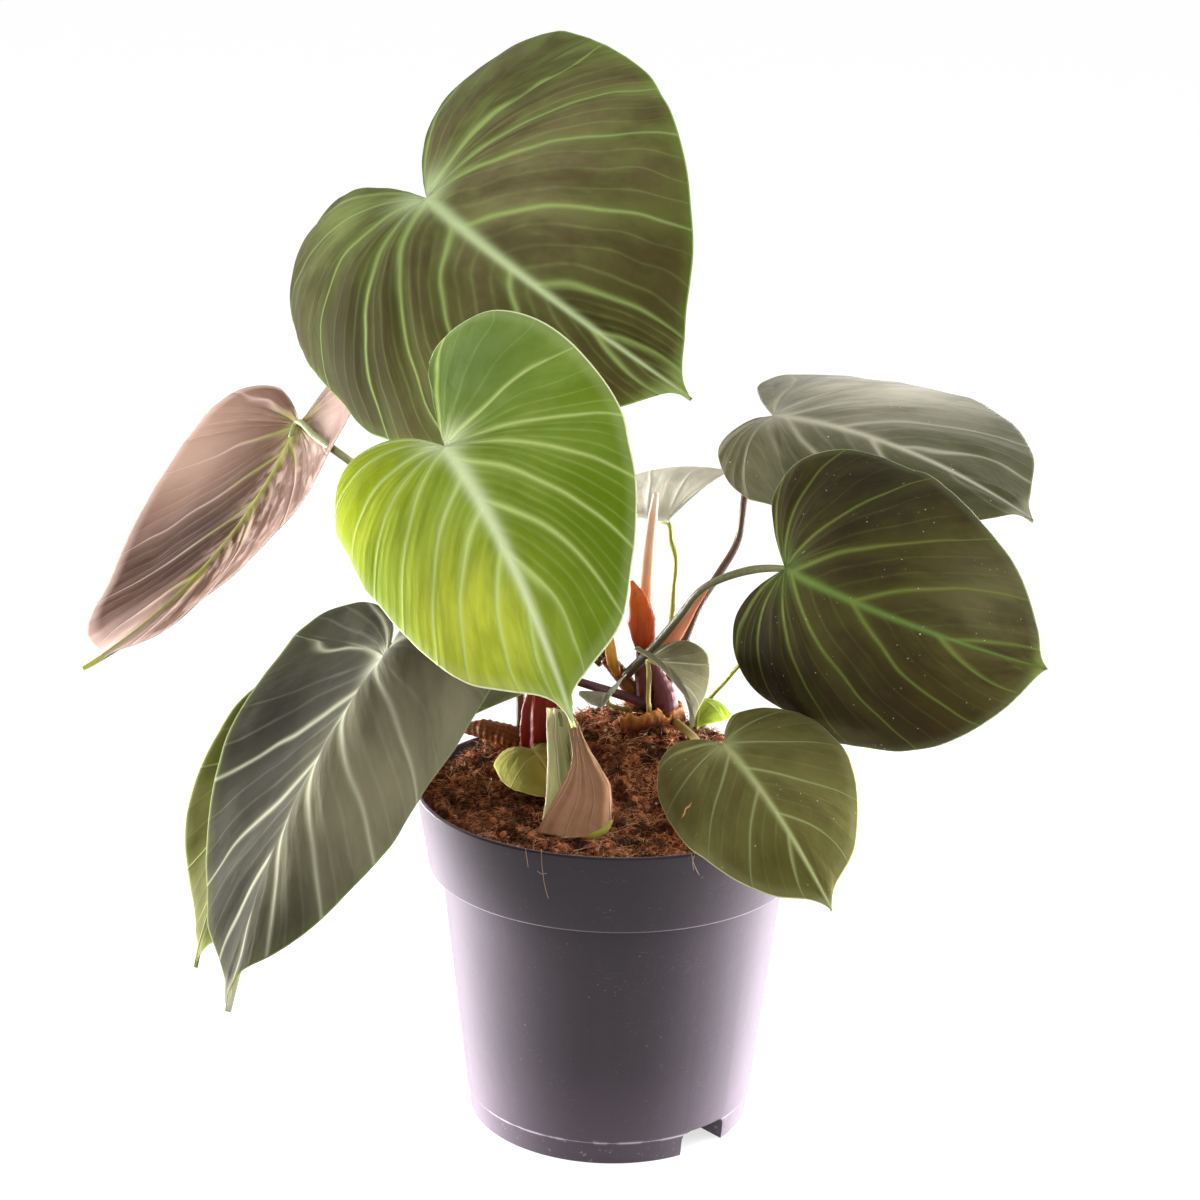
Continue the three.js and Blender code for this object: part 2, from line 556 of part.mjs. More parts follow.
const FINISHES = {
  pot: finish(0x4b444d, 0.45),
  soil: finish(0x5a3423, 0.95),
  stem_right: finish(0x6a3230, 0.6),
  stem_left: finish(0x8a3a2c, 0.6),
  new_leaf_spike: finish(0xb06a3a, 0.5),
  cataphyll_orange: finish(0xb4512a, 0.5),
  cataphyll_salmon: finish(0xc07a55, 0.5),
  sheath_yellow: finish(0xc8902f, 0.6),
  dried_sheath: finish(0x8c4a22, 0.8),
  leaf_curled: finish(0x9a8570, 0.7),
  leaf_top: finish(0x4d553c, 0.75),
  leaf_front: finish(0x7fa02e, 0.6),
  leaf_underside: finish(0xa98c78, 0.65),
  leaf_lower_left: finish(0x3a4138, 0.75),
  leaf_behind: finish(0x5c6b48, 0.7),
  leaf_upper_right: finish(0x66705c, 0.75),
  leaf_right: finish(0x33382a, 0.75),
  leaf_lower_right: finish(0x5d6b3f, 0.7),
  leaf_small_folded: finish(0x767c62, 0.7),
  leaf_small_pale: finish(0xb3b5a3, 0.7),
  leaf_on_soil: finish(0x8c9a4a, 0.7),
  leaf_tiny_lime: finish(0x9cbc3c, 0.65),
  leaf_narrow: finish(0x8a9078, 0.7),
  leaf_hidden: finish(0x5f7040, 0.7),
};

const bodies = {
  pot: potBody(),
  stem_right: join(rightStemParts.map((part) => limb(part))),
  stem_left: join(leftStemParts.map((part) => limb(part))),
  new_leaf_spike: cut(limb(SHOOTS.newLeaf), rightClearance),
  cataphyll_orange: cut(limb(SHOOTS.orangeCataphyll), rightClearance),
  cataphyll_salmon: cut(limb(SHOOTS.salmonCataphyll), rightClearance),
  sheath_yellow: cut(limb(SHOOTS.yellowSheath), rightClearance),
  dried_sheath: driedSheath,
  leaf_curled: cut(
    join([railSheet(ROLLED_RAILS, ROLLED_GRID.rows, ROLLED_GRID.columns, BLADE_THICKNESS), limb(ROLLED_STALK)]),
    leftClearance,
  ),
};

const stalkHoles = [];
for (const [name, leaf] of Object.entries(LEAVES)) {
  bodies[name] = leafBody(leaf, [...rightClearance, ...leftClearance, ...sheathClearance]);
  stalkHoles.push(limb(stalkOf(leaf, new Blade(leaf)), GAP));
}
bodies.soil = soilBody([...rightClearance, ...leftClearance, ...sheathClearance, ...stalkHoles]);

const plant = new THREE.Group();
for (const [name, body] of Object.entries(bodies)) {
  plant.add(mesh(name, body, FINISHES[name]));
}

export default plant;
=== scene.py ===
"""A potted philodendron, dressed over its CAD frame.

Sizes are written in millimetres and become metres where a mesh is made. The origin is the centre of the
pot's base, +X is the viewer's right and -Y faces them.
"""

from __future__ import annotations

import logging
import math
from dataclasses import dataclass, field
from enum import Enum
from typing import Any, Callable, Iterable, Sequence

import bpy
import numpy as np
from mathutils import Matrix, Vector, noise

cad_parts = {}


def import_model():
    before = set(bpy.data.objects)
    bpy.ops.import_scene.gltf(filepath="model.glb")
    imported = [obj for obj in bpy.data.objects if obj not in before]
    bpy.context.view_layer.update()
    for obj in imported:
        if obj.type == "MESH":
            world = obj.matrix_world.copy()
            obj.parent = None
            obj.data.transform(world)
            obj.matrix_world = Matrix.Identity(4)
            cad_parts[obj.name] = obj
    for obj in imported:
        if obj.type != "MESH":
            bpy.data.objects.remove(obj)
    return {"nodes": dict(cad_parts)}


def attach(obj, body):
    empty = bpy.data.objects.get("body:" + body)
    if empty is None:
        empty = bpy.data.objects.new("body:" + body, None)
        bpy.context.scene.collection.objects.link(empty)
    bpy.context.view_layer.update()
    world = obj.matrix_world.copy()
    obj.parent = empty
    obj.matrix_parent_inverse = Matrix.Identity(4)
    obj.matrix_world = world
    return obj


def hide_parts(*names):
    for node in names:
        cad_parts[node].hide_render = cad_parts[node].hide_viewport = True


LOG = logging.getLogger("plant")
MM = 0.001
ASKEW = (0.31, 0.92, 0.17)  # a direction that no stem starts along
MERGE_DIGITS = 4  # points are one where they agree to this many decimals of a millimetre
CURVE_STEPS = 40  # how finely a curve is measured, in steps to each of its points
GRAIN_FADE, GRAIN_SCALE = 0.9, 2.1  # how the noise's layers fade, and how much finer each is
BODY = "root"

Point = tuple[float, float, float]
Pair = tuple[float, float]
Array = np.ndarray
Object, Material, Socket = bpy.types.Object, bpy.types.Material, bpy.types.NodeSocket


# ---- small maths


def colour(code: str) -> tuple[float, float, float, float]:
    """A linear RGBA colour from an sRGB hex code.

    Args:
        code: Six hex digits after a hash.

    Returns:
        Linear red, green and blue, and an alpha of 1.
    """
    shares = [int(code[i : i + 2], 16) / 255 for i in (1, 3, 5)]
    red, green, blue = [s / 12.92 if s <= 0.04045 else ((s + 0.055) / 1.055) ** 2.4 for s in shares]
    return red, green, blue, 1.0


def unit(vectors: Array) -> Array:
    """Vectors along the last axis, scaled to length 1."""
    return vectors / np.maximum(np.linalg.norm(vectors, axis=-1, keepdims=True), 1e-12)


def smooth(low: float, high: float, values: Array) -> Array:
    """A smooth rise from 0 at `low` to 1 at `high`."""
    share = np.clip((values - low) / (high - low), 0, 1)
    return share * share * (3 - 2 * share)


def bell(distance: Array, spread: float) -> Array:
    """A bell curve of height 1."""
    return np.exp(-0.5 * (distance / spread) ** 2)


def grain(points: Array, size: float, octaves: int = 3, offset: float = 0.0) -> Array:
    """Fractal noise at points, about -1 to 1.

    Args:
        points: An array whose last axis holds x, y and z, in millimetres.
        size: The size of the largest lumps, in millimetres.
        octaves: How many times the noise is doubled in scale and added.
        offset: Moves the noise, so that two pieces differ.

    Returns:
        The noise, in the shape of the points without their last axis.
    """
    flat = points.reshape(-1, 3) / size + offset
    values = [noise.fractal(Vector(p), GRAIN_FADE, GRAIN_SCALE, octaves) for p in flat]
    return np.array(values).reshape(points.shape[:-1])


def hermite(share: Array, start: Array, leaving: Array, end: Array, arriving: Array) -> Array:
    """Points between two others on a smooth curve.

    Args:
        share: Shares of the way between them.
        start: Where the curve starts.
        leaving: Its direction and speed there.
        end: Where it ends.
        arriving: Its direction and speed there.

    Returns:
        The points.
    """
    square, cube = share**2, share**3
    return (
        (2 * cube - 3 * square + 1) * start
        + (cube - 2 * square + share) * leaving
        + (3 * square - 2 * cube) * end
        + (cube - square) * arriving
    )


def centripetal(points: Array, samples: Array) -> Array:
    """A centripetal Catmull-Rom curve.

    Args:
        points: The curve's points, one to a row.
        samples: Places along it, from 0 to 1.

    Returns:
        A point for each sample.
    """
    ends = 2 * points[0] - points[1], 2 * points[-1] - points[-2]
    padded = np.vstack([ends[0], points, ends[1]])
    place = np.clip(samples, 0, 1) * (len(points) - 1)
    low = np.minimum(place.astype(int), len(points) - 2)
    share = (place - low)[:, None]
    before, start, end, after = (padded[low + k] for k in range(4))
    first, middle, last = (
        np.maximum(np.linalg.norm(b - a, axis=1, keepdims=True) ** 0.5, 1e-4)
        for a, b in ((before, start), (start, end), (end, after))
    )
    leaving = (start - before) / first - (end - before) / (first + middle) + (end - start) / middle
    arriving = (end - start) / middle - (after - start) / (middle + last) + (after - end) / last
    return hermite(share, start, leaving * middle, end, arriving * middle)


def evenly(points: Sequence[Point], count: int) -> Array:
    """Points spread evenly along a curve through `points`.

    Args:
        points: The curve's points, in millimetres.
        count: How many steps to take.

    Returns:
        count + 1 points.
    """
    dense = centripetal(np.array(points, float), np.linspace(0, 1, CURVE_STEPS * len(points) + 1))
    lengths = np.concatenate([[0], np.cumsum(np.linalg.norm(np.diff(dense, axis=0), axis=1))])
    wanted = np.linspace(0, lengths[-1], count + 1)
    return np.stack([np.interp(wanted, lengths, dense[:, axis]) for axis in range(3)], axis=1)


# ---- meshes


def add_object(name: str, data: Any) -> Object:
    """A new object in the scene.

    Args:
        name: Its name.
        data: Its mesh, camera or light.

    Returns:
        The object, at the origin.
    """
    made = bpy.data.objects.new(name, data)
    bpy.context.scene.collection.objects.link(made)
    return made


@dataclass
class Patch:
    """Faces on their own points, with values at each corner.

    `points` are millimetres, `faces` list rows of points, `values` hold up to three numbers for each point
    under an attribute's name, and `slot` is the material's place in the piece.
    """

    points: Array
    faces: Array
    slot: int = 0
    values: dict[str, Array] = field(default_factory=dict)


def grid_patch(points: Array, flip: bool = False, slot: int = 0, **values: Array) -> Patch:
    """A patch of quads over a grid.

    Args:
        points: The grid's points.
        flip: Turns the faces round.
        slot: The material's place.
        values: Attributes, on the same grid.

    Returns:
        The patch.
    """
    numbers = np.arange(points.shape[0] * points.shape[1]).reshape(points.shape[:2])
    corners = [numbers[:-1, :-1], numbers[1:, :-1], numbers[1:, 1:], numbers[:-1, 1:]]
    faces = np.stack(corners, axis=-1).reshape(-1, 4)
    flat = {key: value.reshape(-1, 3) for key, value in values.items()}
    return Patch(points.reshape(-1, 3), faces[:, ::-1] if flip else faces, slot, flat)


def make_piece(name: str, patches: Iterable[Patch], materials: Sequence[Material]) -> Object:
    """One object from patches, whose points that fall together are merged.

    Args:
        name: The object's name.
        patches: What it is made of.
        materials: Its materials, in the order of their slots.

    Returns:
        The object, smooth shaded, at the origin.
    """
    patches = list(patches)
    starts = np.cumsum([0] + [len(p.points) for p in patches])
    points = np.vstack([p.points for p in patches])
    _, first, merged = np.unique(np.round(points, MERGE_DIGITS), axis=0, return_index=True, return_inverse=True)
    merged = merged.reshape(-1)
    names = sorted({key for p in patches for key in p.values})
    faces, sources, slots = [], [], []
    for start, patch in zip(starts, patches):
        for face in patch.faces + start:
            ring = [corner for i, corner in enumerate(face) if merged[corner] != merged[face[i - 1]]]
            if len({merged[corner] for corner in ring}) < 3:
                continue
            faces.append([int(merged[corner]) for corner in ring])
            sources.extend(ring)
            slots.append(patch.slot)
    mesh = bpy.data.meshes.new(name)
    mesh.from_pydata((points[first] * MM).tolist(), [], faces)
    mesh.polygons.foreach_set("material_index", slots)
    for key in names:
        values = np.vstack([p.values.get(key, np.zeros((len(p.points), 3))) for p in patches])
        layer = mesh.attributes.new(key, "FLOAT_VECTOR", "CORNER")
        layer.data.foreach_set("vector", values[sources].astype(np.float32).ravel())
    mesh.shade_smooth()
    for material in materials:
        mesh.materials.append(material)
    return add_object(name, mesh)


def sheet(
    middle: Array, normals: Array, thickness: float, values: dict[str, Array], turned: bool = False
) -> list[Patch]:
    """A thin sheet.

    Args:
        middle: The points of its middle surface, on a grid.
        normals: The directions of its front, on the same grid.
        thickness: How thick it is, in millimetres.
        values: The attributes of its front and back, on the same grid.
        turned: Turns every face round.

    Returns:
        Its front, its back, and the rims at its first and last column and at its first and last row.
    """
    sides = [middle + normals * (thickness / 2), middle - normals * (thickness / 2)]
    patches = [grid_patch(side, back != turned, 0, **values) for back, side in zip((False, True), sides)]
    every = slice(None)
    for row, column, flip in ((every, 0, True), (every, -1, False), (0, every, False), (-1, every, True)):
        patches.append(grid_patch(np.stack([side[row, column] for side in sides], axis=1), flip != turned))
    return patches


def deliver(piece: Object, nodes: Sequence[str]) -> None:
    """Hangs a finished piece on the frame.

    Args:
        piece: The object, at the origin.
        nodes: The CAD nodes that it stands for, none for an added piece.
    """
    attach(piece, BODY)
    if nodes:
        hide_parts(*nodes)
    LOG.info("%s: %d faces", piece.name, len(piece.data.polygons))


@dataclass
class Limb:
    """A stem along a path, round or flattened front to back, as a turned profile bent along it.

    `radii` are spread evenly along the path, `depth` is the share of the width that a flattened one has from
    front to back, and `swell` changes the radius by angle, share along and place.
    """

    path: Sequence[Point]
    radii: Sequence[float]
    depth: float = 1.0
    sides: int = 32
    steps: int = 72
    slot: int = 0
    swell: Callable[[Array, Array, Array], Array] | None = None

    def frames(self) -> tuple[Array, Array, Array]:
        """The limb's middle line.

        Returns:
            Its points, and the directions across and deep at each.
        """
        middle = evenly(self.path, self.steps)
        along = unit(np.gradient(middle, axis=0))
        if self.depth < 1:
            across = unit(np.cross([0.0, 1.0, 0.0], along))
            return middle, across, np.cross(along, across)
        across = np.zeros_like(along)
        across[0] = unit(np.cross(along[0], ASKEW))
        for i in range(1, len(along)):
            across[i] = unit(across[i - 1] - along[i] * (across[i - 1] @ along[i]))
        return middle, across, np.cross(along, across)

    def patch(self) -> Patch:
        """The limb's skin.

        Returns:
            The skin, closed at both ends, with (share along, share round, radius) at each corner as `stem`.
        """
        middle, across, deep = self.frames()
        share = np.linspace(0, 1, self.steps + 1)
        radius = np.interp(share, np.linspace(0, 1, len(self.radii)), self.radii)
        angle = np.linspace(0, 2 * math.pi, self.sides + 1)
        along, around = np.meshgrid(share, angle, indexing="ij")
        reach = np.repeat(radius[:, None], len(angle), axis=1)
        out = across[:, None] * np.cos(around)[..., None] + deep[:, None] * np.sin(around)[..., None] * self.depth
        if self.swell:
            rough = middle[:, None] + out * reach[..., None]
            reach = reach * (1 + self.swell(around, along, rough))
            reach[:, -1] = reach[:, 0]
        skin = middle[:, None] + out * reach[..., None]
        caps = [np.repeat(middle[k][None, None], len(angle), axis=1) for k in (0, -1)]
        rows = np.concatenate([caps[0], skin, caps[1]], axis=0)
        values = np.stack([along, around / (2 * math.pi), reach], axis=-1)
        values = np.concatenate([values[:1], values, values[-1:]], axis=0)
        return grid_patch(rows, True, self.slot, stem=values)


# ---- materials


@dataclass(frozen=True)
class Spot:
    """A patch of another colour on a blade; some spots are painted highlight and some painted shade, where light
    falls.

    `along` is its place along the midrib as a share of the length, `out` its place to the left (negative) or
    right as a share of the half's width, `spread` its size as a share of the length.
    """

    code: str
    along: float
    out: float
    spread: float = 0.3
    strength: float = 0.7


SPOT_FLATNESS = 0.6  # a half blade's width against its length, for round spots


class Number:
    """A socket or a plain number in a node tree, with Python's arithmetic."""

    def __init__(self, graph: "Graph", source: Any) -> None:
        """Wraps an output socket or a float, with the tree that new nodes go into."""
        self.graph = graph
        self.source = source

    def _maths(self, operation: str, *values: Any) -> "Number":
        """A Math node on these values."""
        node = self.graph.node("ShaderNodeMath", {"operation": operation}, dict(enumerate(values)))
        return Number(self.graph, node.outputs[0])

    def __add__(self, other: Any) -> "Number":
        """self + other"""
        return self._maths("ADD", self, other)

    __radd__ = __add__

    def __sub__(self, other: Any) -> "Number":
        """self - other"""
        return self._maths("SUBTRACT", self, other)

    def __rsub__(self, other: Any) -> "Number":
        """other - self"""
        return self._maths("SUBTRACT", other, self)

    def __mul__(self, other: Any) -> "Number":
        """self * other"""
        return self._maths("MULTIPLY", self, other)

    __rmul__ = __mul__

    def __truediv__(self, other: Any) -> "Number":
        """self / other"""
        return self._maths("DIVIDE", self, other)

    def __rtruediv__(self, other: Any) -> "Number":
        """other / self"""
        return self._maths("DIVIDE", other, self)

    def __pow__(self, other: Any) -> "Number":
        """self ** other"""
        return self._maths("POWER", self, other)

    def fall(self, spread: Any) -> "Number":
        """A bell of this distance: 1 at nought, and less beyond the spread."""
        share = self / spread
        return self._maths("EXPONENT", share * share * -1.0)

    def rise(self, low: Any, high: Any) -> "Number":
        """A smooth rise.

        Args:
            low: Where it is 0; it may be the higher number, for a fall.
            high: Where it is 1.

        Returns:
            The share risen.
        """
        inputs = {"Value": self, "From Min": low, "From Max": high}
        node = self.graph.node("ShaderNodeMapRange", {"interpolation_type": "SMOOTHSTEP"}, inputs)
        return Number(self.graph, node.outputs[0])

    def to_whole(self) -> "Number":
        """The distance to the nearest whole number."""
        return self._maths("PINGPONG", self, 0.5)

    def wave(self) -> "Number":
        """The sine."""
        return self._maths("SINE", self)

    def most(self, other: Any) -> "Number":
        """The greater of two values."""
        return self._maths("MAXIMUM", self, other)

    def least(self, other: Any) -> "Number":
        """The smaller of two values."""
        return self._maths("MINIMUM", self, other)


class Graph:
    """A node tree under construction."""

    def __init__(self, tree: bpy.types.NodeTree) -> None:
        """Starts on an empty tree."""
        self.tree = tree

    def node(self, kind: str, settings: dict[str, Any] | None = None, inputs: dict | None = None) -> bpy.types.Node:
        """Adds any node.

        Args:
            kind: The node's type.
            settings: Its properties, set first; `stops` are a ramp's places and colours.
            inputs: Values or links for its sockets, by identifier, name or index.

        Returns:
            The node.
        """
        made = self.tree.nodes.new(kind)
        for key, value in (settings or {}).items():
            if key == "stops":
                self._set_stops(made.color_ramp, value)
            else:
                setattr(made, key, value)
        for key, value in (inputs or {}).items():
            socket = self._socket(made, key)
            value = value.source if isinstance(value, Number) else value
            if isinstance(value, Socket):
                self.tree.links.new(value, socket)
            else:
                socket.default_value = value
        return made

    @staticmethod
    def _set_stops(ramp: bpy.types.ColorRamp, stops: Sequence[tuple[float, str]]) -> None:
        """Gives a colour ramp its stops.

        Args:
            ramp: The ramp.
            stops: Their places and hex colours.
        """
        while len(ramp.elements) < len(stops):
            ramp.elements.new(0.5)
        for element, (place, code) in zip(ramp.elements, stops):
            element.position = place
            element.color = colour(code)

    @staticmethod
    def _socket(node: bpy.types.Node, key: str | int) -> Socket:
        """A node's input by identifier, name or index."""
        matches = [socket for socket in node.inputs if socket.identifier == key]
        return matches[0] if matches else node.inputs[key]

    def mix(self, share: Any, first: Any, second: Any) -> Socket:
        """A colour between two.

        Args:
            share: How much of the second colour.
            first: A hex code or a colour socket.
            second: A hex code or a colour socket.

        Returns:
            The colour's socket.
        """
        paints = [colour(c) if isinstance(c, str) else c for c in (first, second)]
        inputs = {"Factor_Float": share, "A_Color": paints[0], "B_Color": paints[1]}
        node = self.node("ShaderNodeMix", {"data_type": "RGBA", "blend_type": "MIX"}, inputs)
        return next(s for s in node.outputs if s.identifier == "Result_Color")

    def layers(self, base: Any, *layers: tuple[Any, Any]) -> Socket:
        """Colours laid over one another.

        Args:
            base: The lowest, a hex code or a colour socket.
            layers: How much of each next one shows, and its hex code or colour socket.

        Returns:
            The colour's socket.
        """
        for share, paint in layers:
            base = self.mix(share, base, paint)
        return base

    def place(self) -> Socket:
        """Object coordinates, in metres."""
        return self.node("ShaderNodeTexCoord").outputs["Object"]

    def near(self, spot: Spot) -> Number:
        """How much of a spot shows on a blade.

        Args:
            spot: The spot.

        Returns:
            1 at its middle, falling away smoothly.
        """
        along, out, _ = self.values("flat")
        away, aside = along - spot.along, (out - spot.out) * SPOT_FLATNESS
        return ((away * away + aside * aside) ** 0.5).fall(spot.spread)

    def speckle(self, size: float, detail: float = 3.0, stretch: Point = (1, 1, 1)) -> Number:
        """Soft noise over the surface, about 0.3 to 0.7.

        Args:
            size: The size of its blotches, in millimetres.
            detail: How many finer layers it has.
            stretch: Scales its x, y and z.

        Returns:
            The noise.
        """
        moved = self.node("ShaderNodeMapping", None, {"Vector": self.place(), "Scale": stretch})
        inputs = {"Vector": moved.outputs[0], "Scale": 1 / (size * MM), "Detail": detail, "Roughness": 0.6}
        return Number(self, self.node("ShaderNodeTexNoise", None, inputs).outputs[0])

    def noise(self, place: tuple[Number, Number, Number], scale: float, detail: float) -> Number:
        """Soft noise over three numbers of the surface, about 0.3 to 0.7.

        Args:
            place: The numbers that stand for x, y and z.
            scale: How fast the noise changes with them.
            detail: How many finer layers it has.

        Returns:
            The noise.
        """
        joined = self.node("ShaderNodeCombineXYZ", None, dict(enumerate(place)))
        inputs = {"Vector": joined.outputs[0], "Scale": scale, "Detail": detail, "Roughness": 0.55}
        return Number(self, self.node("ShaderNodeTexNoise", None, inputs).outputs[0])

    def values(self, name: str) -> list[Number]:
        """A surface's attribute.

        Args:
            name: The attribute's name.

        Returns:
            Its three numbers.
        """
        stored = self.node("ShaderNodeAttribute", {"attribute_name": name})
        parts = self.node("ShaderNodeSeparateXYZ", None, {0: stored.outputs["Vector"]})
        return [Number(self, socket) for socket in parts.outputs]

    def bump(self, height: Any, depth: float, strength: float = 1.0, normal: Any = None) -> Socket:
        """Relief.

        Args:
            height: The height, from 0 to 1.
            depth: What a height of 1 is, in millimetres.
            strength: How much of the relief shows.
            normal: A normal that it is laid on.

        Returns:
            The normal's socket.
        """
        inputs = {"Height": height, "Distance": depth * MM, "Strength": strength}
        if normal is not None:
            inputs["Normal"] = normal
        return self.node("ShaderNodeBump", None, inputs).outputs[0]

    def finish(self, inputs: dict[str, Any]) -> None:
        """Ends a material in one Principled surface with these inputs."""
        surface = self.node("ShaderNodeBsdfPrincipled", None, inputs)
        self.node("ShaderNodeOutputMaterial", None, {"Surface": surface.outputs[0]})


def new_material(name: str) -> tuple[Material, Graph]:
    """An empty material.

    Args:
        name: Its name.

    Returns:
        The material and its graph.
    """
    material = bpy.data.materials.new(name)
    material.use_nodes = True
    material.node_tree.nodes.clear()
    return material, Graph(material.node_tree)


# How the lines of every blade are drawn: widths, gaps and sizes are millimetres, the rest are shares.
WANDER_SIZE, WANDER = 28.0, 0.28  # the size and the strength of the veins' wandering
VEIN_START, VEIN_TAPER, VEIN_FADE = 1.2, 0.75, 0.35  # a vein's width at its root, and what it loses outward
VEIN_SHARE, FINE_SHARE = 0.16, 0.2  # the most of a gap that a main and a fine vein take
FINE_WIDTH = 0.6  # a fine vein's width against a main one's
HALO_WIDTH, HALO_SHARE = 1.8, 0.12  # how far a halo reaches, and how much farther in a wide gap
BESIDE_WIDTH = 2.6  # how far the midrib's halo reaches, in widths of the midrib
STREAK_SCALES = (2.3, 2.6, 0.04)  # how fast the streaks change from vein to vein, outward and with the gap
UPPER_BLOTCH, UNDER_BLOTCH = 16.0, 14.0  # the sizes of the two faces' blotches
UPPER_NAP, UNDER_NAP, NAP_DEPTH = 0.5, 0.6, 0.1  # the sizes of the velvet's nap, and its depth
SPECK_SIZE, SPECK_CLOUD, SPECK_COLOUR = 0.9, 11.0, "#f4f2e8"  # dust specks, the clouds they lie in, their colour
STRAND_SCALES, STRAND_WANDER = (5.0, 3.5), 12.0  # how fast pale strands change by vein and outward; their bends


@dataclass(frozen=True)
class LeafPaint:
    """A leaf's finish.

    `flesh` is the colour between the veins, `shade` its streaks, `beside` the colour next to the veins, `vein`
    and `rib` the veins' and the midrib's, `margin` the edge's. Those of the lower face start with `under`. The
    shares from `glow` on say how strongly each thing shows; widths and the relief's `depth` are millimetres.
    """

    flesh: str
    beside: str
    vein: str
    rib: str
    margin: str
    shade: str = "#3d3826"
    under: str = "#8d7a66"
    under_vein: str = "#a6ad72"
    under_shade: str = "#6a5744"
    under_rim: str = "#b9a792"
    under_fade: float = 0.3
    wisps: float = 0.0
    spots: tuple[Spot, ...] = ()
    vein_width: float = 0.75
    rib_width: float = 1.5
    rim_width: float = 5.0
    glow: float = 0.7
    fine: float = 0.25
    bold: float = 0.75
    broad: float = 0.85
    margin_width: float = 0.6
    halo: float = 0.5
    rim: float = 0.1
    streaks: float = 0.45
    depth: float = 0.6
    dust: float = 0.0
    roughness: float = 0.82
    sheen: float = 0.03
    shine: float = 0.03
    under_spots: tuple[Spot, ...] = ()

    def materials(self, name: str, between: int) -> list[Material]:
        """The materials of the leaf's two faces.

        Args:
            name: The leaf's name.
            between: How many fine veins lie between two main ones.

        Returns:
            The upper face's and the lower face's.
        """
        made = []
        for face, paint in (("_upper", self._upper), ("_lower", self._lower)):
            material, graph = new_material(name + face)
            paint(graph, self._lines(graph, between))
            made.append(material)
        return made

    def _lines(self, graph: Graph, between: int) -> dict[str, Number]:
        """Masks of a blade's lines.

        Args:
            graph: The material's graph.
            between: How many fine veins lie between two main ones.

        Returns:
            The `main` veins, their `halo`, the `fine` veins, the `swell` between them, the midrib (`middle`) and
            what is `beside` it, the `margin`, the `rim` inside it, the `glow` at the stalk and the `streak` of
            the flesh along the veins.
        """
        phase, gap, reach = graph.values("veins")
        rib, edge, glow = graph.values("ribs")
        phase = phase + (graph.speckle(WANDER_SIZE, 1.0) - 0.5) * WANDER
        apart = phase.to_whole() * gap
        width = (self.vein_width * (VEIN_START - reach * VEIN_TAPER)).least(gap * VEIN_SHARE)
        strength = 1.0 - reach * reach * VEIN_FADE
        count = float(between + 1)
        fine_gap = gap / count
        fine_apart = (phase * count).to_whole() * fine_gap
        parts = tuple(value * scale for value, scale in zip((phase, reach, gap), STREAK_SCALES))
        streak = graph.noise(parts, 1.0, 4.0)
        patchy = 0.45 + streak.rise(0.35, 0.65) * 0.55
        return {
            "main": apart.fall(width) * strength,
            "halo": apart.fall(HALO_WIDTH + gap * HALO_SHARE) * gap.rise(0.5, 4.0),
            "fine": fine_apart.fall((width * FINE_WIDTH).least(fine_gap * FINE_SHARE)) * gap.rise(1.0, 5.0) * patchy,
            "swell": fine_apart / fine_gap.most(0.3) * 2.0,
            "middle": rib.fall(1.0),
            "beside": rib.fall(BESIDE_WIDTH),
            "margin": 1 - edge.rise(self.margin_width * 0.35, self.margin_width),
            "rim": 1 - edge.rise(1.0, self.rim_width),
            "glow": glow,
            "streak": streak,
        }

    def _upper(self, graph: Graph, lines: dict[str, Number]) -> None:
        """The upper face.

        Args:
            graph: The material's graph.
            lines: The masks of the blade's lines.
        """
        specks = graph.speckle(SPECK_SIZE, 1.0).rise(0.745, 0.77) * graph.speckle(SPECK_CLOUD, 2.0).rise(0.5, 0.62)
        skin = graph.layers(
            self.flesh,
            (graph.speckle(UPPER_BLOTCH, 4.0).rise(0.4, 0.62) * 0.5, self.beside),
            (lines["halo"].most(lines["beside"] * 0.7) * self.halo, self.beside),
            *((graph.near(spot) * spot.strength, spot.code) for spot in self.spots),
            # painted shade along the relief's streaks, partly the flesh's own streaky colour
            (lines["streak"].rise(0.62, 0.3) * self.streaks, self.shade),
            (lines["rim"] * self.rim, self.margin),
            (graph.values("flat")[0].rise(0.9, 0.98) * 0.7, self.vein),
            (lines["fine"] * self.fine, self.vein),
            (lines["main"] * self.bold, self.vein),
            ((lines["middle"] * self.broad).most(lines["glow"] * self.glow), self.rib),
            (lines["margin"] * 0.85, self.margin),
            (specks * self.dust, SPECK_COLOUR),
        )
        nap = graph.speckle(UPPER_NAP, 2.0)
        valley = 1.0 - lines["main"].most(lines["middle"]) * 0.8
        wrinkle = lines["swell"] * 0.25 + lines["streak"] * 1.6 + valley
        relief = graph.bump(wrinkle, self.depth, 0.9, graph.bump(nap, NAP_DEPTH, 0.5))
        graph.finish({
            "Base Color": skin,
            "Roughness": self.roughness + (nap - 0.5) * 0.25,
            "Normal": relief,
            "Sheen Weight": self.sheen,
            "Sheen Roughness": 0.4,
            "Specular IOR Level": self.shine,
        })

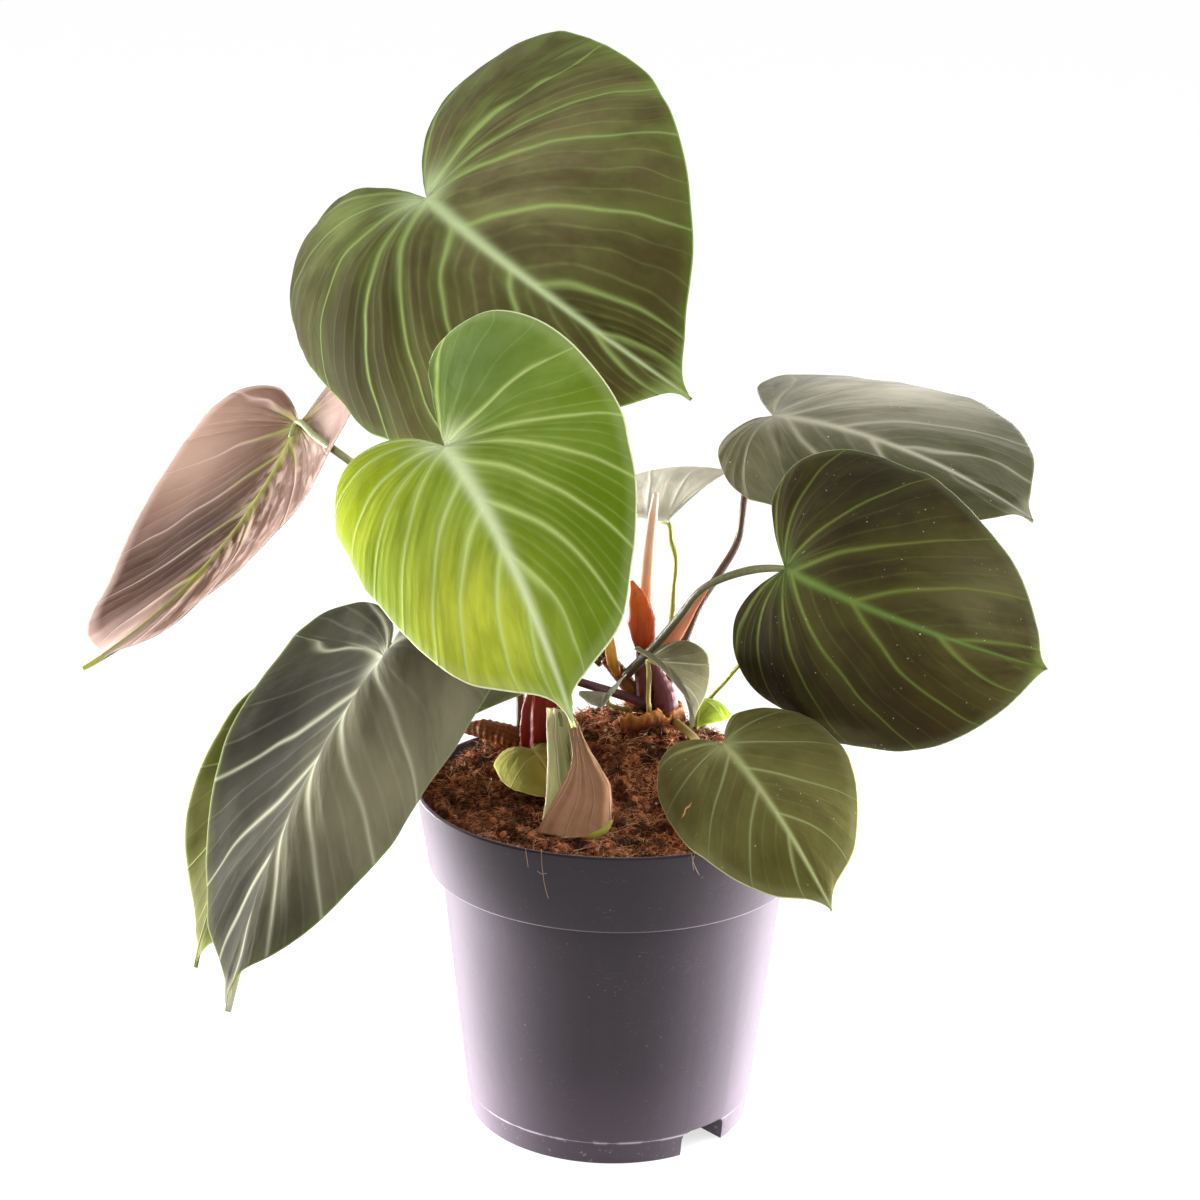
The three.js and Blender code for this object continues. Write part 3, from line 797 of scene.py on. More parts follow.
    def _lower(self, graph: Graph, lines: dict[str, Number]) -> None:
        """The lower face, where the veins stand proud.

        Args:
            graph: The material's graph.
            lines: The masks of the blade's lines.
        """
        phase, _, reach = graph.values("veins")
        along, out, _ = graph.values("flat")
        by_vein, outward = STRAND_SCALES
        wander = graph.speckle(STRAND_WANDER, 2.0) * 3.0
        filament = graph.noise((phase * by_vein, reach * outward, wander), 1.0, 2.5)
        strands = filament.rise(0.42, 0.68) * (out.rise(-0.25, 0.1) * 0.7 + 0.04)
        raised = graph.mix(reach.rise(0.15, 0.55), self.under_vein, self.under_rim)
        skin = graph.layers(
            self.under,
            (graph.speckle(UNDER_BLOTCH, 4.0).rise(0.35, 0.65) * 0.4, self.under_shade),
            # painted shade along the relief's streaks, partly the flesh's own streaky colour
            (lines["streak"].rise(0.6, 0.3) * 0.6, self.under_shade),
            *((graph.near(spot) * spot.strength, spot.code) for spot in self.under_spots),
            (strands * self.wisps, self.under_rim),
            (lines["rim"] * self.under_fade, self.under_rim),
            ((lines["fine"] * 0.15).most(lines["main"] * 0.6).most(lines["halo"] * 0.05), raised),
            ((lines["middle"] * 0.95).most(lines["glow"] * 0.4), self.under_vein),
            (along.rise(0.92, 0.96), self.vein),
        )
        nap = graph.speckle(UNDER_NAP, 2.0)
        ridge = lines["main"].most(lines["middle"]) + lines["streak"] * 1.2 - lines["swell"] * 0.3
        relief = graph.bump(ridge, self.depth, 0.8, graph.bump(nap, NAP_DEPTH, 0.4))
        graph.finish({
            "Base Color": skin,
            "Roughness": self.roughness,
            "Normal": relief,
            "Sheen Weight": self.sheen * 0.5,
            "Specular IOR Level": self.shine,
        })


@dataclass(frozen=True)
class StemPaint:
    """A stem's or a sheath's skin: its colour from the path's start to its end, and its streaks."""

    stops: tuple[tuple[float, str], ...]
    streak: str = "#3c2a1c"
    streaks: float = 0.35
    ribs: float = 14.0
    roughness: float = 0.42

    def material(self, name: str) -> Material:
        """The skin's material.

        Args:
            name: The material's name.

        Returns:
            The material, which reads the `stem` attribute.
        """
        material, graph = new_material(name)
        along, around, _ = graph.values("stem")
        wander = (graph.speckle(3.0, 3.0) - 0.5) * 0.12
        ramp = graph.node("ShaderNodeValToRGB", {"stops": self.stops}, {0: along + wander}).outputs[0]
        lines = (around * (2 * math.pi * self.ribs) + graph.speckle(6.0, 3.0) * 7.0).wave() * 0.5 + 0.5
        fibres = graph.speckle(0.8, 4.0, (1, 1, 0.12))
        dark = (lines * 0.5 + fibres.rise(0.4, 0.65) * 0.6) * self.streaks
        skin = graph.mix(dark.least(1.0), ramp, self.streak)
        relief = graph.bump(lines * 0.6 + fibres, 0.12, 0.6)
        graph.finish({
            "Base Color": skin,
            "Roughness": self.roughness + (fibres - 0.5) * 0.3,
            "Normal": relief,
            "Specular IOR Level": 0.25,
        })
        return material


# ---- leaves

HALF_LEAF: tuple[Pair, ...] = (
    (0, 0), (-0.42, 0.13), (-0.9, 0.34), (-1, 0.62), (-0.55, 0.89), (0.16, 1),
    (0.42, 0.92), (0.64, 0.73), (0.81, 0.46), (0.905, 0.21), (0.955, 0.06), (1, 0),
)
# How far a vein bows toward the tip, as (share of the margin, share of its chord).
VEIN_BOW: tuple[Pair, ...] = ((0, 0), (0.3, 0.12), (0.5, 0.07), (0.62, 0.07), (0.76, 0.18), (0.85, 0.16), (1, 0.08))
DRIP: tuple[float, ...] = (0, 0, 0, 0, 0, 0, 0, 0.02, 0.08, -0.6, -0.5, 0)  # what a sudden drip tip changes
FULLER_SPREAD = 0.06  # how much of the margin a fuller place takes
NUDGE = 0.2  # the step that a blade's normals are measured over, in millimetres
SHARE_STEP = 1e-4  # the step that spacings are measured over, as a share
PHASE_STEP = 0.04  # the step that the veins' spacing is measured over, as a share
GLOW_SHARE = 0.07  # how far the pale centre at the stalk reaches, as a share of the length
RUMPLE_SIZE = 20.0  # the size of a blade's lumps, in millimetres
HALF_SHIFT = 1.7  # how far the two margins' waves are apart, in radians
GROOVE_SHARE, GROOVE_WIDTH = 0.25, 0.6  # a vein's groove as a share of the gap, and what is added to it
FULL_GAP = 9  # the gap between veins that swells in full, in millimetres
CALM_WIDTH = 3.5  # how far from the midrib the relief starts in full, in millimetres
EDGE_THINNING = 0.65  # how much thinner a blade is at its margin
RIB_HEIGHT, RIB_WIDTH = 0.9, 1.7  # how far a midrib of that width stands out below


class Detail(Enum):
    """How fine a blade's grid is: steps down and across each half."""

    LARGE = (150, 44)
    SMALL = (70, 22)


@dataclass
class Blade:
    """A heart-shaped blade, bent along its midrib and out to each margin.

    `at` is where the stalk meets it and `tip` its drip tip. Pairs are left and right of the midrib, seen from
    above with the tip ahead. Lengths are millimetres and angles degrees. `fan` is the share of the margin whose
    veins start at the stalk, `drip` how suddenly the tip narrows, and `fuller` lists where a half's margin
    stands farther out, as (half, share of the margin, millimetres).
    """

    at: Point
    tip: Point
    roll: float
    width: Pair
    lobe: Pair
    fold: Pair
    curl: Pair
    arch: float
    back: float
    fan: float = 0.52
    drip: float = 0.0
    fuller: tuple[tuple[int, float, float], ...] = ()

    def __post_init__(self) -> None:
        """Works out the blade's directions."""
        self.start = np.array(self.at, float)
        ahead = np.array(self.tip, float) - self.start
        self.bend = math.radians(self.arch)
        self.length = float(np.linalg.norm(ahead)) * (self.bend / 2) / math.sin(self.bend / 2)
        self.ahead = unit(ahead)
        level = unit(np.array([0.0, 0.0, 1.0]) - self.ahead * self.ahead[2])
        roll = math.radians(self.roll)
        self.face = level * math.cos(roll) + np.cross(level, self.ahead) * math.sin(roll)
        self.left = np.cross(self.face, self.ahead)

    def outline(self, shares: Array) -> Array:
        """Points of the half outline.

        Args:
            shares: Places along it, from 0 at the notch to 1 at the tip.

        Returns:
            Shares of the lobe or the length, and of the width, on the last axis.
        """
        points = np.array(HALF_LEAF, float)
        points[:, 1] *= 1 + self.drip * np.array(DRIP)
        padded = np.vstack([points[:1], points, points[-1:]])
        place = np.clip(shares, 0, 1) * (len(points) - 1)
        low = np.minimum(place.astype(int), len(points) - 2)
        before, start, end, after = (padded[low + k] for k in range(4))
        return hermite((place - low)[..., None], start, (end - before) / 2, end, (after - start) / 2)

    def flat(self, shares: Array, reach: Array, half: int) -> Array:
        """Flat points along the midrib and out from it.

        Args:
            shares: Places along the margin, 0 at the notch and 1 at the tip.
            reach: Shares of the way out from the veins' roots to the margin.
            half: 0 for the left half and 1 for the right.

        Returns:
            Distances along and out, in millimetres, on the last axis.
        """
        margin = self.outline(shares)
        scale = np.where(margin[..., 0] < 0, self.lobe[half], self.length)
        margin = margin * np.stack([scale, np.full_like(scale, self.width[half])], axis=-1)
        for side, share, growth in self.fuller:
            if side == half:
                margin[..., 1] += growth * bell(shares - share, FULLER_SPREAD) * np.sin(shares * math.pi)
        root = self.length * np.clip((shares - self.fan) / (1 - self.fan), 0, 1) ** 1.1
        root = np.stack([root, np.zeros_like(root)], axis=-1)
        chord = margin - root
        bow = np.interp(shares, *np.array(VEIN_BOW).T)
        middle = (root + margin) / 2 + bow[..., None] * np.stack([-chord[..., 1], chord[..., 0]], axis=-1)
        r = reach[..., None]
        return (1 - r) ** 2 * root + 2 * r * (1 - r) * middle + r**2 * margin

    @staticmethod
    def arc(angle: float, rate: Any, length: Array) -> tuple[Array, Array]:
        """Where an arc ends.

        Args:
            angle: The angle that it starts at, in radians.
            rate: How fast it turns, in radians to a millimetre.
            length: How long it is, in millimetres.

        Returns:
            The steps along and off the line that the angle is measured from.
        """
        rate = np.where(np.abs(rate) < 1e-6, 1e-6, rate)
        end = angle + rate * length
        return (np.sin(end) - np.sin(angle)) / rate, (np.cos(angle) - np.cos(end)) / rate

    def lift(self, flat: Array, half: int) -> Array:
        """Points in space of flat points.

        Args:
            flat: Distances along and out on the last axis.
            half: 0 for the left half and 1 for the right.

        Returns:
            The points, in millimetres.
        """
        x, y = flat[..., 0], flat[..., 1]
        back = -math.radians(self.back) / max(self.lobe)
        rate = np.where(x < 0, back, -self.bend / self.length)
        ahead, rise = self.arc(self.bend / 2, rate, x)
        slope = self.bend / 2 + rate * x
        turn = math.radians(self.curl[half]) / self.width[half]
        out, height = self.arc(math.radians(self.fold[half]), turn, y)
        side = 1 if half == 0 else -1
        return (
            self.start
            + (ahead - np.sin(slope) * height)[..., None] * self.ahead
            + (side * out)[..., None] * self.left
            + (rise + np.cos(slope) * height)[..., None] * self.face
        )

    def normal(self, flat: Array, half: int) -> Array:
        """Directions off the upper face.

        Args:
            flat: Distances along and out on the last axis.
            half: 0 for the left half and 1 for the right.

        Returns:
            Directions of length 1.
        """
        ahead = self.lift(flat + [NUDGE, 0.0], half) - self.lift(flat - [NUDGE, 0.0], half)
        beside = self.lift(flat + [0.0, NUDGE], half) - self.lift(flat, half)
        return unit(np.cross(ahead, beside)) * (1 if half == 0 else -1)


@dataclass
class Leaf:
    """A leaf: its blade, its stalk, its veins and its paint.

    `stalk` runs from behind the blade to its foot. `veins` are the shares of the left and the right margin that
    the main veins reach, and `between` is how many fine ones lie between two. `quilt` is how far the blade
    swells between its veins and `wave` how far its margin rises and falls, in millimetres.
    """

    name: str
    blade: Blade
    stalk: Sequence[Point]
    paint: LeafPaint
    stalk_paint: StemPaint
    slot: str
    radii: Pair = (1.1, 1.4)
    detail: Detail = Detail.LARGE
    veins: tuple[tuple[float, ...], tuple[float, ...]] = ((0.3, 0.45, 0.6, 0.75), (0.3, 0.45, 0.6, 0.75))
    between: int = 2
    quilt: float = 0.6
    wave: float = 0.5
    waves: float = 5
    thickness: float = 0.5

    def phase(self, shares: Array, half: int) -> Array:
        """The veins' count up a half's margin.

        Args:
            shares: Places along the margin.
            half: 0 for the left half and 1 for the right.

        Returns:
            The count, with a main vein at each whole number.
        """
        places = [0, *self.veins[half], 1]
        counts = [0.4, *range(1, len(self.veins[half]) + 1), len(self.veins[half]) + 0.6]
        return np.interp(shares, places, counts)

    def half(self, half: int) -> tuple[Array, Array, dict[str, Array]]:
        """One half's middle surface.

        Args:
            half: 0 for the left half and 1 for the right.

        Returns:
            Its points and normals on a grid, and its attributes.
        """
        rows, columns = self.detail.value
        shares, reach = np.meshgrid(np.linspace(0, 1, rows + 1), np.linspace(0, 1, columns + 1), indexing="ij")
        shares = 0.5 * shares + 0.5 * (1 - np.cos(shares * math.pi)) / 2
        flat = self.blade.flat(shares, reach, half)
        past, short = (np.clip(shares + step, 0, 1) for step in (SHARE_STEP, -SHARE_STEP))
        by_share = self.blade.flat(past, reach, half) - self.blade.flat(short, reach, half)
        by_share = by_share / (past - short)[..., None]
        past, short = (np.clip(reach + step, 0, 1) for step in (SHARE_STEP, -SHARE_STEP))
        by_reach = self.blade.flat(shares, past, half) - self.blade.flat(shares, short, half)
        by_reach = by_reach / (past - short)[..., None]
        out_length = np.linalg.norm(by_reach, axis=-1)
        apart = np.abs(by_share[..., 0] * by_reach[..., 1] - by_share[..., 1] * by_reach[..., 0])
        apart = apart / np.maximum(out_length, 1e-6)
        phase = self.phase(shares, half)
        rate = (self.phase(shares + PHASE_STEP, half) - self.phase(shares - PHASE_STEP, half)) / (2 * PHASE_STEP)
        gap = apart / np.maximum(rate, 1.0)
        edge = (1 - reach) * out_length
        along = flat[..., 0] / self.blade.length
        rib_width = self.paint.rib_width * np.clip(1.3 - 1.1 * along, 0.2, 1.3)
        rib = flat[..., 1] / rib_width + 3 * np.clip(-along * 8, 0, 1)
        far = np.hypot(flat[..., 0], flat[..., 1])
        glow = np.exp(-((far / (GLOW_SHARE * self.blade.length)) ** 2))
        attributes = {
            "veins": np.stack([phase + 20 * half, gap, reach], axis=-1),
            "ribs": np.stack([rib, edge, glow], axis=-1),
            "flat": np.stack([along, flat[..., 1] / self.blade.width[half] * (2 * half - 1), reach], axis=-1),
        }
        normals = self.blade.normal(flat, half)
        swell = self.relief(attributes["veins"], flat, shares, half)
        return self.blade.lift(flat, half) + normals * swell[..., None], normals, attributes

    def relief(self, veins: Array, flat: Array, shares: Array, half: int) -> Array:
        """How far the middle surface stands off its plain form.

        Args:
            veins: The veins' attribute.
            flat: The flat points.
            shares: The places along the margin.
            half: 0 for the left half and 1 for the right.

        Returns:
            Distances along the normal, in millimetres.
        """
        phase, gap, reach = np.moveaxis(veins, -1, 0)
        apart = np.abs(phase - np.round(phase)) * gap
        puff = 1 - np.exp(-((apart / (GROOVE_SHARE * gap + GROOVE_WIDTH)) ** 2))
        strength = self.quilt * np.clip(gap / FULL_GAP, 0, 1.2) * np.sin(np.clip(reach, 0, 1) * math.pi * 0.9) ** 0.7
        fade = smooth(0, CALM_WIDTH, flat[..., 1])
        turn = 2 * math.pi * self.waves * shares + HALF_SHIFT * half + len(self.name)
        ripple = self.wave * reach**4 * np.sin(turn) * np.sin(shares * math.pi) ** 0.5
        rolled = np.stack([flat[..., 0], flat[..., 1] * (1 if half == 0 else -1), np.zeros_like(gap)], axis=-1)
        rough = grain(rolled, RUMPLE_SIZE, 2, len(self.name)) * self.quilt * 1.1
        return (puff * strength + rough * reach) * fade + ripple

    def faces(self) -> list[Patch]:
        """The blade's skin.

        Returns:
            Its two faces and its rim, for each half.
        """
        parts = [self.half(half) for half in (0, 1)]
        mean = unit(parts[0][1][:, :1] + parts[1][1][:, :1])
        patches = []
        for half, (points, normals, attributes) in enumerate(parts):
            reach = attributes["veins"][..., 2]
            blend = smooth(0, 0.06, reach)[..., None]
            normals = unit(mean * (1 - blend) + normals * blend)
            thin = self.thickness * (1 - EDGE_THINNING * reach**6)
            rib = attributes["ribs"][..., 0]
            top = points + normals * (thin / 2)[..., None]
            raised = RIB_HEIGHT * self.paint.rib_width / RIB_WIDTH * np.exp(-(rib**2)) * (1 - reach)
            base = points - normals * (thin / 2 + raised)[..., None]
            patches += [grid_patch(face, half == slot, slot, **attributes) for slot, face in enumerate((top, base))]
            rim = np.stack([top[:, -1], base[:, -1]], axis=1)
            edge = {key: np.repeat(value[:, -1:], 2, axis=1) for key, value in attributes.items()}
            patches.append(grid_patch(rim, half == 0, 0, **edge))
        return patches

    def stem(self) -> Patch:
        """The stalk.

        Returns:
            Its skin, from its hold under the midrib to its foot.
        """
        top, foot = self.radii
        under = []
        for place, drop in ((4 * top, top - 0.1), (-0.5, top + 0.2)):
            flat = np.array([[place, 0.0]])
            near = flat + [0.0, NUDGE]
            normal = unit(self.blade.normal(near, 0) + self.blade.normal(near, 1))
            under.append(tuple((self.blade.lift(flat, 0) - normal * drop)[0]))
        path = [*under, *self.stalk]
        radii = [top * 0.75, top * 1.12, top * 0.98, (top + foot) / 2, foot, foot * 1.1]
        sides, steps = (24, 90) if self.detail is Detail.LARGE else (14, 48)
        return Limb(path, radii, sides=sides, steps=steps, slot=2).patch()

    def build(self) -> None:
        """Makes the leaf and hangs it on the frame in its node's place."""
        materials = self.paint.materials(self.name, self.between)
        materials.append(self.stalk_paint.material(self.name + "_stalk"))
        piece = make_piece(self.name + "_form", [*self.faces(), self.stem()], materials)
        deliver(piece, [self.name])


OLIVE_STALK = StemPaint(((0, "#9aa468"), (0.35, "#7d7c52"), (1, "#5f4a3c")), "#4a3d2c", 0.3)
DARK_STALK = StemPaint(((0, "#8f9560"), (0.25, "#6b6a48"), (1, "#453a2c")), "#33291f", 0.35)
BROWN_STALK = StemPaint(((0, "#6f5a48"), (0.5, "#5b4638"), (1, "#4a3330")), "#32231f", 0.35)
PURPLE_STALK = StemPaint(((0, "#6d5b4e"), (0.5, "#5e3d40"), (1, "#54313a")), "#331d24", 0.3)
GREEN_STALK = StemPaint(((0, "#a0a23c"), (0.5, "#8d8f34"), (1, "#6f7434")), "#4f5526", 0.25)
PALE_STALK = StemPaint(((0, "#b9ad6a"), (0.5, "#bda85e"), (1, "#a89a52")), "#7d7440", 0.2)


def leaves() -> list[Leaf]:
    """Every flat leaf of the plant.

    Returns:
        The leaves, the large ones first.
    """
    small = {"detail": Detail.SMALL, "quilt": 0.25, "wave": 0.15, "thickness": 0.45}
    return [
        Leaf(
            "leaf_top",
            Blade(
                (-58.5, 29, 276), (17.5, -65, 237.5), -64, (71, 70), (51.5, 58), (4, 45), (-43, -90), 38, 21,
                fan=0.62, fuller=((0, 0.37, -1.5),),
            ),
            [
                (-58.5, 36.5, 258), (-52.5, 42.5, 235.5), (-41, 45, 205), (-26.5, 42, 176), (-12, 34, 154.5),
                (-2, 23.5, 139),
            ],
            LeafPaint(
                "#574f31", "#667238", "#93a660", "#bccb98", "#7c9a42", shade="#3a3118", halo=0.75, glow=0.9,
                vein_width=0.95, rib_width=2.1, fine=0.16, bold=0.65, streaks=0.6,
                spots=(
                    Spot("#8a9956", -0.15, 0.4, 0.14, 0.75), Spot("#4f4a26", 0.45, 0.75, 0.35, 0.5),
                    Spot("#5f6838", -0.1, -0.9, 0.25, 0.5), Spot("#3f3919", 0.75, -0.35, 0.3, 0.6),
                    # 2b2a12 and #2c2b16 are painted shade on the left half, where the side light grazes it
                    Spot("#2b2a12", 0.22, 0.78, 0.28, 0.8), Spot("#2c2b16", -0.28, 0.85, 0.2, 0.6),
                    Spot("#3b3414", 0.8, 0.05, 0.2, 0.6), Spot("#7c7254", 0.32, -0.3, 0.24, 0.5),
                ),
            ),
            OLIVE_STALK, "brown_velvet_leaf",
            veins=((0.23, 0.45, 0.52, 0.6, 0.71, 0.84, 0.91), (0.27, 0.35, 0.44, 0.55, 0.63, 0.7, 0.8, 0.9)),
            between=3, quilt=0.9, wave=0.8,
        ),
        Leaf(
            "leaf_front",
            Blade(
                (-46, -85.5, 227.5), (-11, -155.5, 176.5), -6, (43, 41), (45, 11.5), (39, 13), (-7, -98), 34, 20,
                fan=0.6, drip=1.0, fuller=((1, 0.82, 4.5), (0, 0.68, -3.0)),
            ),
            [(-42.5, -71, 219), (-35, -42.5, 200.5), (-23.5, -11.5, 177.5), (-13, 7, 157.5), (-3.5, 18.5, 140)],
            LeafPaint(
                "#5f741c", "#748a38", "#b2c273", "#c9d3a6", "#d6dcae", shade="#4c5f12", halo=0.6, glow=0.85,
                rib_width=2.4, vein_width=0.9, fine=0.14, bold=0.7, streaks=0.4,
                spots=(
                    Spot("#99a51c", 0.0, 0.75, 0.34, 0.9), Spot("#b6ba38", 0.66, 0.35, 0.26, 0.8),
                    Spot("#5b6f3e", -0.25, -0.4, 0.32, 0.85), Spot("#4f6606", 0.6, -0.65, 0.32, 0.85),
                ),
            ),
            OLIVE_STALK, "lime_leaf",
            veins=((0.25, 0.43, 0.5, 0.57, 0.64, 0.72, 0.8), (0.26, 0.38, 0.46, 0.52, 0.6, 0.67, 0.73, 0.79, 0.87)),
            between=3, quilt=0.6, wave=0.5,
        ),
        Leaf(
            "leaf_underside",
            Blade(
                (-98.5, 39, 204.5), (-153.5, -27.5, 146.5), 155, (67.5, 37.5), (19.5, 21), (-4, 5), (-11, -11), 32,
                12, drip=0.8,
            ),
            [
                (-91.2, 19.9, 205.6), (-85.7, 7.4, 205.6), (-81, 1.7, 204), (-76.2, 6.5, 199), (-66.4, 22.8, 186.9),
                (-37, 38.5, 157.5), (-16, 30, 143.5), (-4.5, 21.5, 136),
            ],
            LeafPaint(
                "#63704a", "#76855a", "#a5ab48", "#b6c288", "#d9c4b4", under="#5f3c2a", under_vein="#8f8f48",
                under_shade="#3f2214", under_rim="#c9aca0", under_fade=0.6, wisps=0.8,
                under_spots=(
                    Spot("#240e05", 0.36, -0.42, 0.345, 1.0), Spot("#ccb0a4", 0.93, -0.1, 0.2, 0.9),
                    Spot("#b0907f", 0.02, -0.98, 0.31, 0.85), Spot("#a98e80", 0.5, 0.9, 0.25, 0.6),
                    Spot("#d6bcb0", -0.12, 0.6, 0.24, 0.95),
                ),
                rim_width=6, rib_width=1.6, vein_width=0.9,
            ),
            OLIVE_STALK, "pink_underside_leaf",
            veins=((0.33, 0.45, 0.56, 0.66, 0.77), (0.3, 0.46, 0.55, 0.68, 0.78)), between=3, quilt=0.6,
        ),
        Leaf(
            "leaf_lower_left",
            Blade(
                (-64.5, -52, 160), (-104, -99, 74), -32, (45, 61), (30, 17), (27, -1), (-160, 28), 24, -24, fan=0.5,
                fuller=((0, 0.72, 3.0),),
            ),
            [
                (-60, -46, 161.5), (-45, -22, 162), (-33, 2, 158), (-29.5, 17, 145), (-29.5, 22, 130),
                (-29, 21.5, 114),
            ],
            LeafPaint(
                "#38362a", "#555440", "#a3a38b", "#c4c6ae", "#6d7640", shade="#221f15", vein_width=1.2,
                # painted light and shade: #7b765d and #77725a lighten the half that the leaf above shades; #120f06
                # darkens the other half, which the side light grazes
                spots=(
                    Spot("#7b765d", 0.35, -0.6, 0.3, 0.7), Spot("#120f06", 0.26, 0.66, 0.34, 0.85),
                    Spot("#77725a", 0.05, -0.7, 0.18, 0.7), Spot("#1f1d12", 0.8, 0.3, 0.3, 0.8),
                ),
                streaks=0.3, bold=0.65, rib_width=2.3, halo=0.45, glow=0.8, fine=0.1, sheen=0.03,
            ),
            OLIVE_STALK, "grey_velvet_leaf",
            veins=((0.2, 0.38, 0.5, 0.59, 0.67, 0.75, 0.84), (0.25, 0.43, 0.56, 0.67, 0.79)), quilt=0.9, wave=0.6,
        ),
        Leaf(
            "leaf_behind",
            Blade((-55, 4, 136.5), (-119, -58, 68), -22, (57, 64), (31, 30), (-10, -20), (8, 63), 62, 10),
            [(-50, 9, 135.5), (-38, 13, 137), (-22, 12, 136), (-9, 9.5, 133), (2, 14.5, 128), (13, 16.5, 123.5)],
            LeafPaint("#424217", "#525325", "#858b4d", "#8a9055", "#9aa066", shade="#32330e"),
            PURPLE_STALK, "mid_green_leaf", veins=((0.3, 0.45, 0.58, 0.7, 0.82), (0.3, 0.45, 0.58, 0.7, 0.82)),
        ),
        Leaf(
            "leaf_upper_right",
            Blade(
                (46.5, 37, 211), (118, -19, 194), -13, (58.5, 30.5), (23.5, 12), (5, -5), (-30, -92), 29, 0,
                fan=0.58, fuller=((1, 0.3, -3.0),),
            ),
            [
                (43, 37, 202), (39, 40, 187), (37, 42, 170), (31.5, 40, 160), (26, 36, 152), (21, 28.5, 141.5),
                (15, 20, 128),
            ],
            LeafPaint(
                "#4b4d37", "#68674f", "#a19f88", "#aeac96", "#6f7048", shade="#38391f", dust=0.8, fine=0.2,
                sheen=0.25, vein_width=0.9,
                spots=(
                    # d2ccba is a painted highlight near the blade's top
                    Spot("#d2ccba", 0.15, -0.78, 0.32, 0.95), Spot("#45462f", 0.8, 0.1, 0.3, 0.6),
                    Spot("#6d6b50", -0.1, 0.4, 0.25, 0.5),
                ),
            ),
            BROWN_STALK, "grey_velvet_leaf", veins=((0.33, 0.47, 0.6, 0.7, 0.8), (0.29, 0.43, 0.6, 0.75)),
            quilt=0.8,
        ),
        Leaf(
            "leaf_right",
            Blade(
                (48, -18, 178), (121.5, -39, 156), -80, (49, 56), (20, 16), (4, 12), (-73, -85), 84, -5, fan=0.64,
                fuller=((1, 0.88, 3.5),),
            ),
            [(40, -15, 177), (30, -10, 172.5), (24, -6, 167.5), (18.5, 0, 158), (11, 8, 145.5), (3, 16, 134)],
            LeafPaint(
                "#382f1e", "#474620", "#6c783a", "#61783a", "#8e9870", shade="#231a0f", glow=0.5, bold=0.65,
                fine=0.14, dust=0.6, rib_width=1.2, halo=0.6, vein_width=0.65,
                spots=(
                    Spot("#26261a", 0.1, -0.8, 0.3, 0.7), Spot("#4b4420", 0.75, 0, 0.25, 0.6),
                    Spot("#1d1b0d", -0.04, 0.45, 0.24, 0.75), Spot("#2a1c08", 0.65, 0.46, 0.22, 0.6),
                    Spot("#6b6748", 0.72, -0.3, 0.18, 0.5),
                ),
            ),
            DARK_STALK, "dark_leaf",
            veins=((0.23, 0.35, 0.5, 0.66, 0.76, 0.88), (0.3, 0.42, 0.54, 0.66, 0.76, 0.86)), quilt=0.8, wave=0.4,
        ),
        Leaf(
            "leaf_lower_right",
            Blade(
                (30.5, -43, 133), (60, -77, 97), -30, (32.5, 27.5), (17, 19), (-16, -23), (-11, -21), 59, 11,
                fan=0.5, drip=0.4,
            ),
            [(27.5, -36, 130), (25, -18, 124), (22.5, 0, 121), (18.5, 13, 120)],
            LeafPaint(
                "#5b5630", "#68683a", "#929866", "#9fa673", "#c2c08e", shade="#443f1e", glow=0.7, fine=0.12,
                dust=0.4, vein_width=0.5, rib_width=1.1, spots=(Spot("#433f14", 0.75, 0.2, 0.3, 0.6),),
            ),
            PALE_STALK, "mid_green_leaf", radii=(1.0, 1.2),
            veins=((0.2, 0.33, 0.47, 0.61, 0.76), (0.3, 0.42, 0.55, 0.68, 0.81)), quilt=0.6, wave=0.3,
        ),
        Leaf(
            "leaf_small_folded",
            Blade((10, -6, 146.5), (22.5, -12.5, 127), -1, (26.5, 16), (3, 4), (-19, 42), (31, -31), 77, -21),
            [
                (9.5, -5, 142.5), (9.6, 0, 134.5), (9.8, 7, 128.4), (10.2, 12.2, 125), (10.4, 12.6, 119),
                (10.4, 12.6, 113),
            ],
            LeafPaint(
                "#605c42", "#706c50", "#a3a186", "#9c9a80", "#a0a27e", shade="#3b371f", rib_width=0.8,
                vein_width=0.5,
            ),
            PALE_STALK, "grey_velvet_leaf", radii=(0.7, 0.8), veins=((0.35, 0.55, 0.75), (0.35, 0.55, 0.75)),
            **small,
        ),
        Leaf(
            "leaf_small_pale",
            Blade((15, 44, 175.5), (-11, 75, 169), -5, (13, 32), (8, 4.5), (14, 60), (0, -63), 8, 3),
            [(16.5, 45, 169), (18, 44, 163), (17.5, 42, 153), (17, 36, 146), (15, 27, 138), (12, 21, 129)],
            LeafPaint(
                "#cac7b4", "#d4d1c0", "#e9e7da", "#e9e7da", "#cccab8", shade="#9f9d88", under="#a8a592",
                under_vein="#dddbcf", under_shade="#8f8c76", under_rim="#b9b7a6", rib_width=0.9, vein_width=0.8,
                sheen=0.1,
            ),
            GREEN_STALK, "pale_leaf", radii=(0.8, 1.0), veins=((0.3, 0.5, 0.65, 0.8), (0.3, 0.5, 0.65, 0.8)),
            between=1, **small,
        ),
        Leaf(
            "leaf_on_soil",
            Blade(
                (-25, 4, 113.5), (-15, -24, 106), 2, (13, 13), (6, 5), (11, 9), (-40, -60), 28, 12,
                fuller=((1, 0.5, 1.0), (1, 0.6, 1.3), (1, 0.7, 1.0)),
            ),
            [(-25, 5.5, 112.5), (-24.5, 9, 112.5), (-23.5, 13, 114)],
            LeafPaint(
                "#8f8f44", "#9c9c50", "#b6b671", "#bfbf7c", "#b0ab52", shade="#7f7c34", rib_width=0.6,
                vein_width=0.3,
            ),
